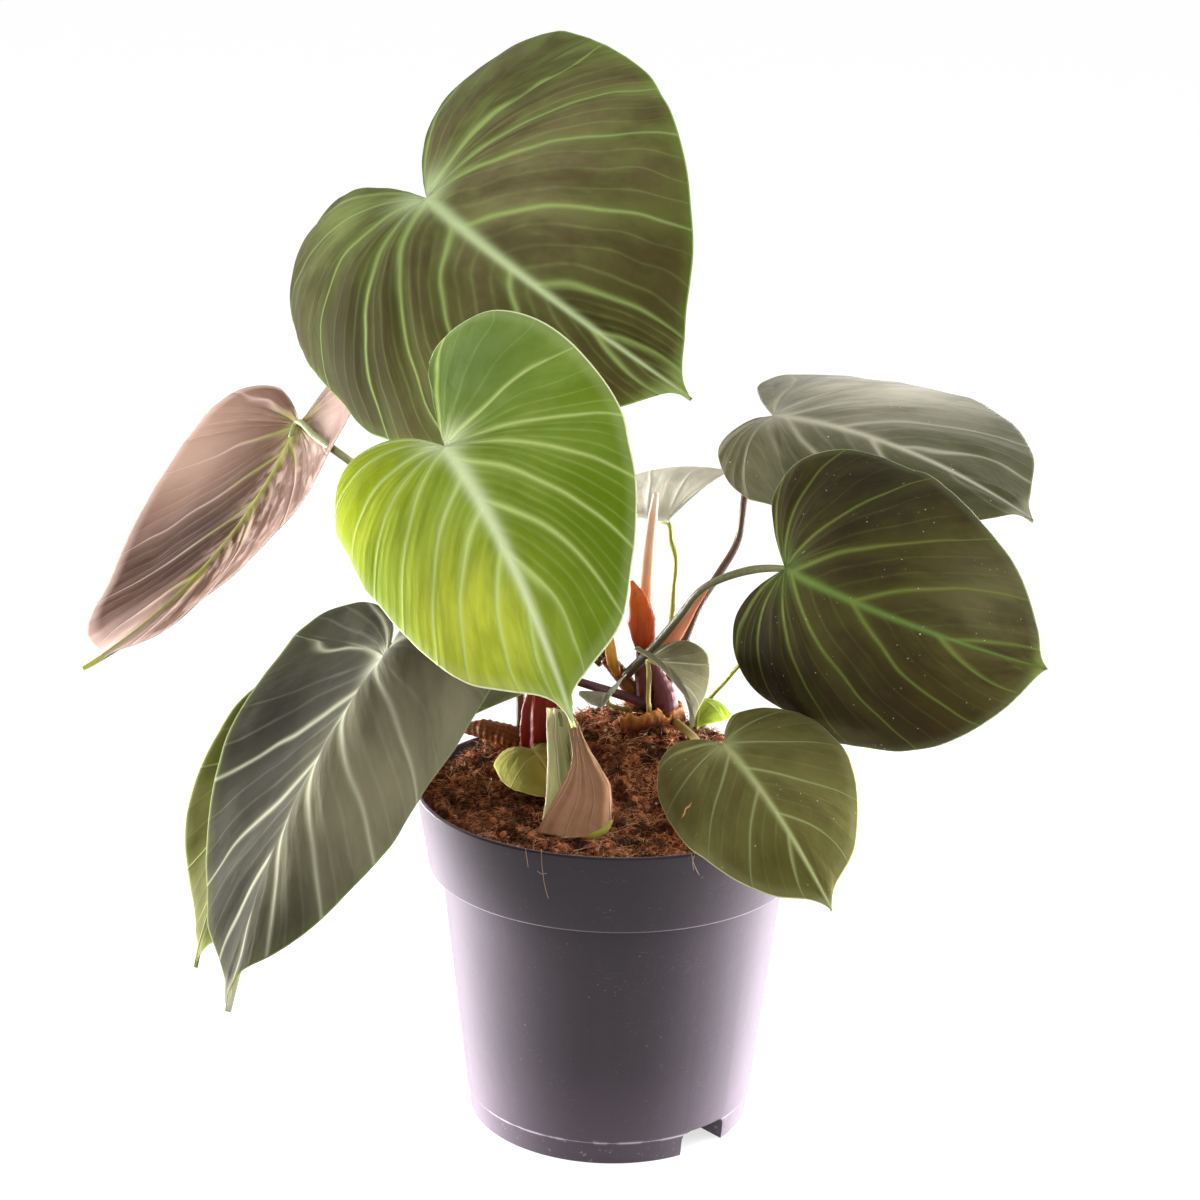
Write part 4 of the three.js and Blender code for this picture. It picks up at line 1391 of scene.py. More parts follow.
            OLIVE_STALK, "mid_green_leaf", radii=(0.7, 0.7), veins=((0.35, 0.6), (0.35, 0.6)), between=1, **small,
        ),
        Leaf(
            "leaf_tiny_lime",
            Blade((28, 29, 122.5), (25, 12, 118.5), -15, (10, 9), (3, 3), (-14, -13), (-60, -89), 45, 20),
            [(28, 30, 120.5), (27.5, 31, 114), (27, 31, 104)],
            LeafPaint("#8fa62c", "#9db63a", "#b6c860", "#bccc6c", "#a9b84a", rib_width=0.6, vein_width=0.3),
            GREEN_STALK, "lime_leaf", radii=(0.7, 0.8), veins=((0.35, 0.6), (0.35, 0.6)), between=1, **small,
        ),
        Leaf(
            "leaf_narrow",
            Blade((-3, 4, 132), (-4.5, -6, 130.3), 0, (8.5, 8), (2, 2), (45, 3), (5, -5), 40, 10),
            [(-2.6, 6, 129.5), (-2, 10, 126.5), (1, 14.5, 124), (5, 18, 121.5), (10, 19.5, 118.5)],
            LeafPaint("#8d8f78", "#9a9c84", "#b9bba4", "#c0c2aa", "#b0b294", rib_width=0.6, vein_width=0.3),
            GREEN_STALK, "pale_leaf", radii=(0.6, 0.7), veins=((0.4, 0.7), (0.4, 0.7)), between=1, **small,
        ),
        Leaf(
            "leaf_hidden",
            Blade((56, 24, 150), (66, 12, 138), -40, (14, 14), (6, 6), (10, 10), (-30, -30), 30, 10),
            [(50, 24, 145), (39, 25, 136), (34, 30, 128), (29.5, 38, 119), (28, 41, 110), (28, 41, 102)],
            LeafPaint("#5f6e3e", "#6f7f4a", "#95a468", "#a3b078", "#a9b47c", rib_width=0.7, vein_width=0.35),
            GREEN_STALK, "mid_green_leaf", radii=(0.7, 0.8), veins=((0.35, 0.6), (0.35, 0.6)), between=1, **small,
        ),
    ]


@dataclass
class RolledLeaf:
    """The young leaf that is rolled on itself and hangs to the rim, as a sheet through rails.

    `rails` are the left margin, the back, the right-hand turn, the front of the flap and the flap's own margin.
    """

    rails: tuple[tuple[Point, ...], ...] = (
        ((-21, -2, 129), (-20, -12, 121), (-20, -25, 112), (-21, -36, 104.5)),
        ((-17, 3, 127), (-14, -6, 120), (-11, -18, 112), (-11, -29, 104.5)),
        ((-12, -4, 126.5), (-8, -14, 121), (-2, -25, 114), (-1, -34, 105)),
        ((-12, -6.5, 126.5), (-10, -21, 118), (-9, -33, 110), (-11, -42, 103.5)),
        ((-14, -7.5, 126.5), (-13, -22, 118.5), (-18, -34, 111.5), (-22.5, -39.5, 104)),
    )
    stalk: tuple[Point, ...] = ((-16.5, -2, 123), (-17, 2, 125.5), (-18, 6, 125), (-19.5, 10, 122), (-21, 15, 119))
    drip: tuple[Point, ...] = ((-9.5, -42, 103.6), (-6, -41.5, 104), (-2.6, -40.2, 105.4), (-0.4, -39, 108))
    rows: int = 110
    columns: int = 120
    thickness: float = 0.45
    veins: int = 7
    ripple: float = 0.22
    rumple: float = 0.5
    rumple_size: float = 9.0
    rib_place: float = 0.45

    def surface(self) -> Array:
        """The middle surface.

        Returns:
            Its points, on a grid.
        """
        down = np.linspace(0, 1, self.rows + 1)
        across = np.linspace(0, 1, self.columns + 1)
        curves = np.stack([centripetal(np.array(rail, float), down) for rail in self.rails], axis=1)
        return np.stack([centripetal(row, across) for row in curves])

    def build(self) -> None:
        """Makes the rolled leaf and hangs it on the frame."""
        middle = self.surface()
        down = np.gradient(middle, axis=0)
        across = np.gradient(middle, axis=1)
        normals = unit(np.cross(down, across))
        u, v = np.meshgrid(np.linspace(0, 1, self.rows + 1), np.linspace(0, 1, self.columns + 1), indexing="ij")
        phase = v * self.veins + 0.25 * np.sin(5 * u) + 0.5 * u
        gap = np.linalg.norm(across, axis=-1) * self.columns / self.veins
        ripple = self.ripple * np.cos(2 * math.pi * phase) * np.clip(gap / 4, 0, 1)
        rough = grain(middle, self.rumple_size, 3) * self.rumple
        middle = middle + normals * (ripple + rough)[..., None]
        edge = np.minimum(np.minimum(v, 1 - v) * self.columns * np.linalg.norm(across, axis=-1), 40 * (1 - u))
        values = {
            "veins": np.stack([phase, gap, u], axis=-1),
            "ribs": np.stack([np.abs(v - self.rib_place) * 40, edge, 0.35 * (1 - u) ** 3], axis=-1),
            "flat": np.stack([u * 0.85, v, v], axis=-1),
        }
        patches = sheet(middle, normals, self.thickness, values)
        patches[1].slot = patches[-1].slot = 1
        patches.append(Limb(self.stalk, (0.9, 0.9, 1.0, 1.1), sides=20, steps=48, slot=2).patch())
        patches.append(Limb(self.drip, (0.2, 1.1, 1.0, 0.12), depth=0.3, sides=20, steps=30, slot=3).patch())
        paint = LeafPaint(
            "#c3c488", "#d0d19a", "#f0eec8", "#ece7bd", "#fdf8d8", shade="#8e9560", under="#a0785c",
            under_vein="#c9a78c", under_shade="#8d6549", under_rim="#c6a58b", under_fade=0.0,
            fine=0.4, vein_width=0.35, rib_width=1.0, glow=0.5, roughness=0.6, depth=0.4,
            spots=(Spot("#b08a68", 0.85, 0.2, 0.2, 0.5),),
        )
        tip = StemPaint(((0, "#a9824e"), (0.4, "#a8a440"), (1, "#c0bf4c")), "#8c8a34", 0.2)
        materials = paint.materials("leaf_curled", 1)
        materials.append(OLIVE_STALK.material("leaf_curled_stalk"))
        materials.append(tip.material("leaf_curled_tip"))
        piece = make_piece("leaf_curled_form", patches, materials)
        deliver(piece, ["leaf_curled"])


@dataclass
class Litter:
    """A curl of bark that lies on the lower right leaf, as (along, out) places on its right half."""

    leaf: str = "leaf_lower_right"
    places: tuple[Pair, ...] = ((5.8, 18.2), (6.5, 19.5), (5.8, 21.0), (6.8, 22.2), (6.5, 24.2))
    lift: float = 1.0
    radii: tuple[float, ...] = (0.15, 0.6, 0.4, 0.65, 0.2)

    def build(self, every: Sequence[Leaf]) -> None:
        """Makes the litter on its leaf.

        Args:
            every: The leaves, among them its own.
        """
        blade = next(leaf.blade for leaf in every if leaf.name == self.leaf)
        points = blade.lift(np.array(self.places, float), 1) + blade.face * self.lift
        limb = Limb([tuple(point) for point in points], self.radii, depth=0.4, sides=10, steps=24)
        paint = StemPaint(((0, "#c9824a"), (0.5, "#ecb07c"), (1, "#a8623a")), "#7a4424", 0.3)
        piece = make_piece("leaf_litter", [limb.patch()], [paint.material("leaf_litter")])
        deliver(piece, [])


# ---- stems and sheaths


@dataclass
class Shoots:
    """The stems that rise from the soil, and the sheaths and the unopened leaf that stand on them."""

    def build(self) -> None:
        """Makes every shoot."""
        self.right_stem()
        self.left_stem()
        self.spike()
        self.sheaths()

    def add(self, node: str, limbs: Sequence[Limb], paints: Sequence[StemPaint], slot: str) -> None:
        """One piece from limbs, in a node's place.

        Args:
            node: The node's name.
            limbs: Its limbs.
            paints: The paints of their slots.
            slot: A material slot's name; it is not used.
        """
        materials = [paint.material(f"{node}_{index}") for index, paint in enumerate(paints)]
        piece = make_piece(node + "_form", [limb.patch() for limb in limbs], materials)
        deliver(piece, [node])

    def right_stem(self) -> None:
        """The burgundy stem, its purple swelling and its brown branch."""

        def scars(_: Array, along: Array, place: Array) -> Array:
            """Low rings and lumps on an old stem."""
            return 0.05 * np.sin(along * 40) ** 8 + 0.06 * grain(place, 4.0, 3)

        stem = [
            (14, 19, 98), (14, 19, 108), (13, 19, 114), (10.5, 19, 121), (9, 18.5, 127), (8.5, 18, 134),
            (8.5, 18, 141),
        ]
        swelling = [
            (16, 18, 108), (16, 17, 116), (15.8, 16.5, 122), (14.8, 16.5, 128), (12.5, 17, 134), (11, 17.5, 138),
        ]
        branch = [(10, 19.5, 122), (5.6, 20, 127), (1.2, 20, 133), (-3.2, 20, 138.5)]
        limbs = [
            Limb(stem, (2.6, 3.2, 3.2, 3, 2.9, 2.9, 2.4), sides=48, slot=0, swell=scars),
            Limb(swelling, (3.4, 4.2, 4.2, 3.6, 2.4, 1.2), sides=48, slot=1, swell=scars),
            Limb(branch, (2.4, 2.5, 2.4, 2.2), sides=40, slot=2, swell=scars),
        ]
        paints = [
            StemPaint(((0, "#4a2018"), (0.5, "#5b2420"), (1, "#6a3524")), "#2e1412", 0.4),
            StemPaint(((0, "#4d2228"), (0.45, "#6e3a44"), (1, "#7c4a50")), "#47222c", 0.3, roughness=0.5),
            StemPaint(((0, "#6b3a1e"), (0.6, "#7e4a24"), (1, "#5f3a20")), "#3c2210", 0.45),
        ]
        self.add("stem_right", limbs, paints, "purple_stem")

    def left_stem(self) -> None:
        """The fluted red sheaths and the brown rootstock."""

        def flutes(around: Array, along: Array, place: Array) -> Array:
            """Long folds round the sheath."""
            folds = 0.13 * np.cos(around * 7 + 1.5 * along) * np.sin(np.clip(along * 1.2, 0, 1) * math.pi)
            return folds + 0.05 * grain(place, 3.5, 3)

        def knots(_: Array, along: Array, place: Array) -> Array:
            """Rings and lumps on the rootstock."""
            return 0.08 * np.sin(along * 46) ** 6 + 0.12 * grain(place, 4.5, 3)

        stem = [(-23, 15, 98), (-22.5, 14.5, 108), (-22, 14, 116), (-22, 14.5, 124), (-22, 15.5, 132), (-23, 17, 139)]
        root = [(-48, 23, 113.5), (-41, 21, 114), (-34, 19, 113), (-27, 17, 111), (-20, 15, 108)]
        limbs = [
            Limb(stem, (4, 6, 6.8, 6.4, 4.4, 1.2), depth=0.55, sides=72, slot=0, swell=flutes),
            Limb(root, (1.2, 3, 3.5, 3.6, 3), sides=48, slot=1, swell=knots),
        ]
        paints = [
            StemPaint(((0, "#4a120c"), (0.5, "#8c1f14"), (1, "#a83a22")), "#340a06", 0.45, ribs=9),
            StemPaint(((0, "#7a4a26"), (0.5, "#8a4e22"), (1, "#3d2012")), "#2a140a", 0.6),
        ]
        self.add("stem_left", limbs, paints, "red_stem")

    def spike(self) -> None:
        """The unopened leaf."""
        path = [
            (8.6, 19.5, 139), (8.5, 20.3, 147), (8.3, 20.5, 157), (8.8, 20.3, 169), (9.8, 20, 181), (10.9, 20, 190.5),
        ]

        def roll(around: Array, along: Array, _: Array) -> Array:
            """The overlapping edge of the rolled blade."""
            return 0.09 * np.exp(-(((around - 4.4 - 0.6 * along) / 0.35) ** 2)) - 0.03 * np.cos(around * 2)

        # paler toward the tip; the last two stops are lightened further as a painted highlight
        stops = ((0, "#b8724a"), (0.4, "#d29b74"), (0.85, "#dcb294"), (1, "#f6dfc8"))
        paint = StemPaint(stops, "#a8623c", 0.25, ribs=4)
        limb = Limb(path, (1.5, 2.1, 2.3, 2.1, 1.7, 0.9), sides=48, swell=roll)
        self.add("new_leaf_spike", [limb], [paint], "spike_skin")

    def sheaths(self) -> None:
        """The two cataphylls and the yellow sheath."""

        def keel(around: Array, along: Array, place: Array) -> Array:
            """A keel down a sheath's front and a soft buckle."""
            front = np.exp(-(((np.abs(around - 1.5 * math.pi)) / 0.4) ** 2))
            return 0.18 * front * np.sin(along * math.pi) + 0.06 * grain(place, 5.0, 2)

        orange = Limb(
            [(8.6, 15.5, 140), (8, 14.6, 147), (7, 14.4, 154), (5.5, 15, 160), (4, 16, 164)],
            (1.9, 3.6, 4.3, 3, 0.5), depth=0.5, sides=56, swell=keel,
        )
        salmon = Limb(
            [
                (12.5, 20, 134), (15, 21.5, 141), (18.5, 23, 147), (22.5, 24, 154), (26.3, 24.5, 159),
                (29.6, 25, 162.4),
            ],
            (1.2, 2.4, 2.8, 2.4, 1.5, 0.3), depth=0.45, sides=56, swell=keel,
        )
        yellow = Limb(
            [(0.4, 17.2, 133.6), (-1.1, 15.2, 138), (-1.9, 14.7, 143), (-1.6, 15, 148)],
            (1, 1.8, 1.6, 0.4), depth=0.45, sides=40, swell=keel,
        )
        fire = ((0, "#701c06"), (0.3, "#a23e08"), (0.75, "#bc560e"), (1, "#cc7028"))
        flesh = ((0, "#9a5230"), (0.4, "#b9785a"), (1, "#a8643c"))
        straw = ((0, "#b0702a"), (0.5, "#d39b3c"), (1, "#e0b45a"))
        kinds = (
            ("cataphyll_orange", orange, fire, "#7a1c04", 0.45, "orange_sheath"),
            ("cataphyll_salmon", salmon, flesh, "#c06a24", 0.35, "salmon_sheath"),
            ("sheath_yellow", yellow, straw, "#8a5218", 0.35, "yellow_sheath"),
        )
        for node, limb, stops, streak, streaks, slot in kinds:
            self.add(node, [limb], [StemPaint(stops, streak, streaks, ribs=4)], slot)


@dataclass
class DriedSheath:
    """The dry collar round the swelling's foot, and the ragged flap that has peeled away from it.

    `lumps` and `buckle` are the size and the height of the unevenness of the collar and of the flap.
    """

    centre: Pair = (16, 17.5)
    collar: tuple[Pair, ...] = ((4.7, 112.5), (5.5, 116), (5.6, 120), (4.7, 124), (4.0, 124.2))
    foot: tuple[Point, ...] = ((16, 12.6, 110), (11, 10.4, 109.5), (6, 9.4, 109), (3, 9.6, 109))
    top: tuple[Point, ...] = ((17, 12.4, 123), (12, 9, 125), (6.5, 8, 124.2), (1.2, 8.6, 123.2))
    thickness: float = 0.5
    segments: int = 96
    rows: int = 24
    columns: int = 70
    tear: float = 1.7
    inner_radius: float = 3.0
    lumps: Pair = (3.0, 0.35)
    rags: float = 1.6
    buckle: Pair = (4.5, 0.9)

    def build(self) -> None:
        """Makes the sheath and hangs it on the frame."""
        patches = [self.ring(), *self.flap()]
        stops = ((0, "#2a130a"), (0.7, "#5a2a12"), (0.88, "#a8642a"), (1, "#d8964a"))
        paint = StemPaint(stops, "#2a120a", 0.4, ribs=5, roughness=0.65)
        piece = make_piece("dried_sheath_form", patches, [paint.material("dried_sheath")])
        deliver(piece, ["dried_sheath"])

    def ring(self) -> Patch:
        """The collar.

        Returns:
            Its skin, open at its top round the swelling.
        """
        share = np.linspace(0, 1, 41)
        profile = np.array(self.collar, float)
        place = np.linspace(0, 1, len(profile))
        radius, height = (np.interp(share, place, profile[:, k]) for k in (0, 1))
        inside = [(self.inner_radius, 121.0), (self.inner_radius, 113.0)]
        inner = [(radius[-1] - 0.6, height[-1] - 0.3), *inside, (radius[0], height[0])]
        radius = np.concatenate([radius, [r for r, _ in inner]])
        height = np.concatenate([height, [h for _, h in inner]])
        angle = np.linspace(0, 2 * math.pi, self.segments + 1)
        r, a = np.meshgrid(radius, angle, indexing="ij")
        z = np.repeat(height[:, None], len(angle), axis=1)
        points = np.stack([self.centre[0] + r * np.cos(a), self.centre[1] + r * np.sin(a), z], axis=-1)
        bumps = grain(points, self.lumps[0], 3) * self.lumps[1]
        ragged = grain(points, self.rags, 2, 5.0) * smooth(121, 124, z)
        out = np.stack([np.cos(a), np.sin(a), np.zeros_like(a)], axis=-1)
        points = points + out * bumps[..., None]
        points[..., 2] += ragged
        points[:, -1] = points[:, 0]
        along = np.clip((z - 112) / 12, 0, 1)
        values = np.stack([along, a / (2 * math.pi), r], axis=-1)
        return grid_patch(points, stem=values)

    def flap(self) -> list[Patch]:
        """The flap.

        Returns:
            A thin sheet with a torn top edge, as its sides and rims.
        """
        rows, columns = self.rows, self.columns
        across = np.linspace(0, 1, columns + 1)
        foot = centripetal(np.array(self.foot, float), across)
        top = centripetal(np.array(self.top, float), across)
        torn = [noise.fractal(Vector((x * 0.35, 0, 4)), 0.7, 2.3, 4) for x in top[:, 0]]
        top[:, 2] += self.tear * np.array(torn)
        share = np.linspace(0, 1, rows + 1)[:, None, None]
        curl = np.sin(share * math.pi / 2) ** 3 * np.array([0, -0.9, 0])
        middle = foot + (top - foot) * share + curl
        middle[..., 1] += self.buckle[1] * grain(middle, self.buckle[0], 3) * share[..., 0]
        normal = unit(np.cross(np.gradient(middle, axis=1), np.gradient(middle, axis=0)))
        along = np.repeat(share[..., 0], columns + 1, axis=1)
        values = np.stack([along, np.repeat(across[None], rows + 1, axis=0), along], axis=-1)
        patches = sheet(middle, normal, self.thickness, {"stem": values}, turned=True)
        for rim in patches[2:]:
            place = 1.0 if rim is patches[-1] else 0.5
            rim.values = {"stem": np.ones((len(rim.points), 3)) * [place, 0.2, 0.5]}
        return patches


# ---- pot


@dataclass
class Pot:
    """The nursery pot: a tapered wall under a wider band, a stepped foot and two drains through it."""

    height: float = 104.5
    rim_radius: float = 60
    rim_lip: float = 1.2
    band_height: float = 24.5
    band_foot_radius: float = 56
    wall_top_radius: float = 52.3
    wall_foot_radius: float = 44
    foot_radius: float = 43.5
    base_radius: float = 42.8
    foot_height: float = 7
    plastic: float = 1.1
    floor: float = 1.5
    drain_width: float = 17
    drain_height: float = 8
    drain_corner: float = 3
    drain_inner: float = 18
    drains: Pair = (42, 222)
    segments: int = 200
    softening: float = 0.35
    round_steps: int = 4
    crease: float = 35

    def outline(self) -> list[Pair]:
        """The section.

        Returns:
            Its corners, from the base's centre up the outside and down the inside.
        """
        lip = self.rim_lip / 3
        band_foot = self.height - self.band_height
        return [
            (0, 0), (self.base_radius, 0), (self.foot_radius, self.foot_height),
            (self.wall_foot_radius, self.foot_height + lip), (self.wall_top_radius, band_foot),
            (self.band_foot_radius - lip, band_foot), (self.band_foot_radius, band_foot + lip),
            (self.rim_radius, self.height - lip), (self.rim_radius - lip, self.height),
            (self.rim_radius - self.rim_lip, self.height),
            (self.band_foot_radius - self.plastic, band_foot + self.plastic),
            (self.wall_top_radius - self.plastic, band_foot + self.plastic),
            (self.base_radius - self.plastic, self.floor), (0, self.floor),
        ]

    @staticmethod
    def softened(points: Sequence[Pair], radius: float, steps: int) -> Array:
        """An outline with its corners rounded.

        Args:
            points: The corners.
            radius: How far from a corner its round starts, in millimetres.
            steps: How many steps a round has.

        Returns:
            The outline's points.
        """
        result = [np.array(points[0], float)]
        for before, corner, after in zip(points, points[1:], points[2:]):
            before, corner, after = (np.array(p, float) for p in (before, corner, after))
            reach = [min(radius, np.linalg.norm(p - corner) * 0.45) for p in (before, after)]
            start = corner + unit(before - corner) * reach[0]
            end = corner + unit(after - corner) * reach[1]
            for t in np.linspace(0, 1, steps + 1):
                result.append((1 - t) ** 2 * start + 2 * t * (1 - t) * corner + t**2 * end)
        result.append(np.array(points[-1], float))
        return np.array(result)

    def turned(self, outline: Array) -> Object:
        """An outline turned about Z.

        Args:
            outline: The outline's points.

        Returns:
            The object, a scratch one until it is delivered.
        """
        angle = np.linspace(0, 2 * math.pi, self.segments + 1)
        radius, turn = np.meshgrid(outline[:, 0], angle, indexing="ij")
        height = np.repeat(outline[:, 1][:, None], len(angle), axis=1)
        points = np.stack([radius * np.cos(turn), radius * np.sin(turn), height], axis=-1)
        points[:, -1] = points[:, 0]
        return make_piece("pot_form", [grid_patch(points, True)], [])

    def bar(self, bearing: float, grow: float, reach: float) -> Object:
        """A drain's bar, as a scratch object.

        Args:
            bearing: Its direction, in degrees from the front toward +X.
            grow: How much larger it is than the opening.
            reach: How far out it runs.

        Returns:
            The bar.
        """
        half, top = self.drain_width / 2 + grow, self.drain_height + grow
        corner = self.drain_corner + grow
        bottom = -1.0 if grow == 0 else 0.6
        arc = np.linspace(0, math.pi / 2, 9)
        right = [(half - corner + corner * math.cos(a), top - corner + corner * math.sin(a)) for a in arc]
        left = [(-x, z) for x, z in reversed(right)]
        section = np.array([(-half, bottom), (half, bottom), *right, *left])
        direction = math.radians(bearing)
        out = np.array([math.sin(direction), -math.cos(direction), 0.0])
        side = np.array([-out[1], out[0], 0.0])
        ends = []
        for distance in (self.drain_inner - grow, reach):
            ends.append(out * distance + side * section[:, :1] + np.array([0, 0, 1.0]) * section[:, 1:])
        count = len(section)
        faces = [[i, (i + 1) % count, count + (i + 1) % count, count + i] for i in range(count)]
        caps = [list(range(count))[::-1], list(range(count, 2 * count))]
        mesh = bpy.data.meshes.new("drain_bar")
        mesh.from_pydata((np.vstack(ends) * MM).tolist(), [], faces + caps)
        return add_object("drain_bar", mesh)

    def paint(self) -> Material:
        """Dark moulded plastic.

        Returns:
            The material, with a low sheen, faint flow lines, scuffs and a painted highlight at the foot's step, a
            little dust, a painted floor reflection low on the wall and painted shade on the band.
        """
        material, graph = new_material("pot_plastic")
        parts = graph.node("ShaderNodeSeparateXYZ", None, {0: graph.place()})
        height = Number(graph, parts.outputs[2]) * (1 / MM)
        band = self.height - self.band_height
        cloud = graph.speckle(30.0, 4.0)
        flow = graph.speckle(7.0, 3.0, (1, 1, 0.05))
        scratches = graph.speckle(1.6, 4.0, (1, 1, 5)).rise(0.6, 0.68) * graph.speckle(9.0, 2.0).rise(0.5, 0.6)
        # painted highlight: `step` is a thin broken light line along the foot's step; `rubbed` is real scuffing below
        # it, and `foot` holds both
        broken = graph.speckle(6.0, 3.0, (1, 1, 0.3)).rise(0.42, 0.55)
        step = (height - (self.foot_height + 0.2)).fall(0.45) * broken
        rubbed = (height - 4.0).fall(3.5) * graph.speckle(1.8, 3.0).rise(0.62, 0.7) * 0.5
        foot = step.most(rubbed)
        skin = graph.layers(
            "#140b12",
            (cloud.rise(0.35, 0.65) * 0.5, "#1a1017"),
            (flow.rise(0.45, 0.7) * 0.25, "#251a22"),
            # painted reflection of the floor, lightening the wall toward the foot
            (height.rise(38.0, 4.0) * 0.7, "#40343e"),
            # painted shade, darkening the band
            (height.rise(band, band + 4.0) * 0.6, "#0d070b"),
            # scratches and rubbing, together with the painted highlight along the step
            ((scratches * 0.06 + foot * 0.6).least(0.7), "#b9b2b8"),
            (graph.speckle(0.8, 1.0).rise(0.78, 0.8) * 0.3, "#a89e92"),
        )
        texture = graph.speckle(0.5, 2.0)
        relief = graph.bump(texture + flow * 0.8, 0.05, 0.5, graph.bump(cloud, 0.5, 0.35))
        graph.finish({
            "Base Color": skin,
            "Roughness": 0.42 + (cloud - 0.5) * 0.15 + foot * 0.3,
            "Normal": relief,
            "Specular IOR Level": 0.2,
            "Sheen Weight": 0.88,
            "Sheen Roughness": 0.45,
            "Sheen Tint": colour("#ecdcee"),
        })
        return material

    def build(self) -> None:
        """Makes the pot and hangs it on the frame."""
        outside = self.outline()[:9]
        piece = self.turned(self.softened(self.outline(), self.softening, self.round_steps))
        filled = self.turned(self.softened([*outside, (0, self.height)], self.softening, self.round_steps))
        for bearing in self.drains:
            roof = self.bar(bearing, self.plastic, self.rim_radius)
            self.combine(roof, filled, "INTERSECT")
            self.combine(piece, roof, "UNION")
            bpy.data.objects.remove(roof)
        for bearing in self.drains:
            opening = self.bar(bearing, 0, self.rim_radius)
            self.combine(piece, opening, "DIFFERENCE")
            bpy.data.objects.remove(opening)
        bpy.data.objects.remove(filled)
        piece.data.materials.clear()
        piece.data.materials.append(self.paint())
        piece.data.shade_smooth()
        piece.data.set_sharp_from_angle(angle=math.radians(self.crease))
        piece.name = "pot_wall"
        deliver(piece, ["pot"])

    @staticmethod
    def combine(piece: Object, tool: Object, operation: str) -> None:
        """Applies one boolean.

        Args:
            piece: The object that changes.
            tool: The object that changes it.
            operation: UNION, DIFFERENCE or INTERSECT.
        """
        change = piece.modifiers.new("join", "BOOLEAN")
        change.operation, change.object, change.solver = operation, tool, "EXACT"
        apply_modifiers(piece)


def apply_modifiers(piece: Object) -> None:
    """Puts the evaluated mesh in an object and removes its modifiers.

    Args:
        piece: The object.
    """
    graph = bpy.context.evaluated_depsgraph_get()
    evaluated = piece.evaluated_get(graph)
    result = bpy.data.meshes.new_from_object(evaluated, preserve_all_data_layers=True, depsgraph=graph)
    old = piece.data
    piece.modifiers.clear()
    piece.data = result
    bpy.data.meshes.remove(old)


# ---- soil


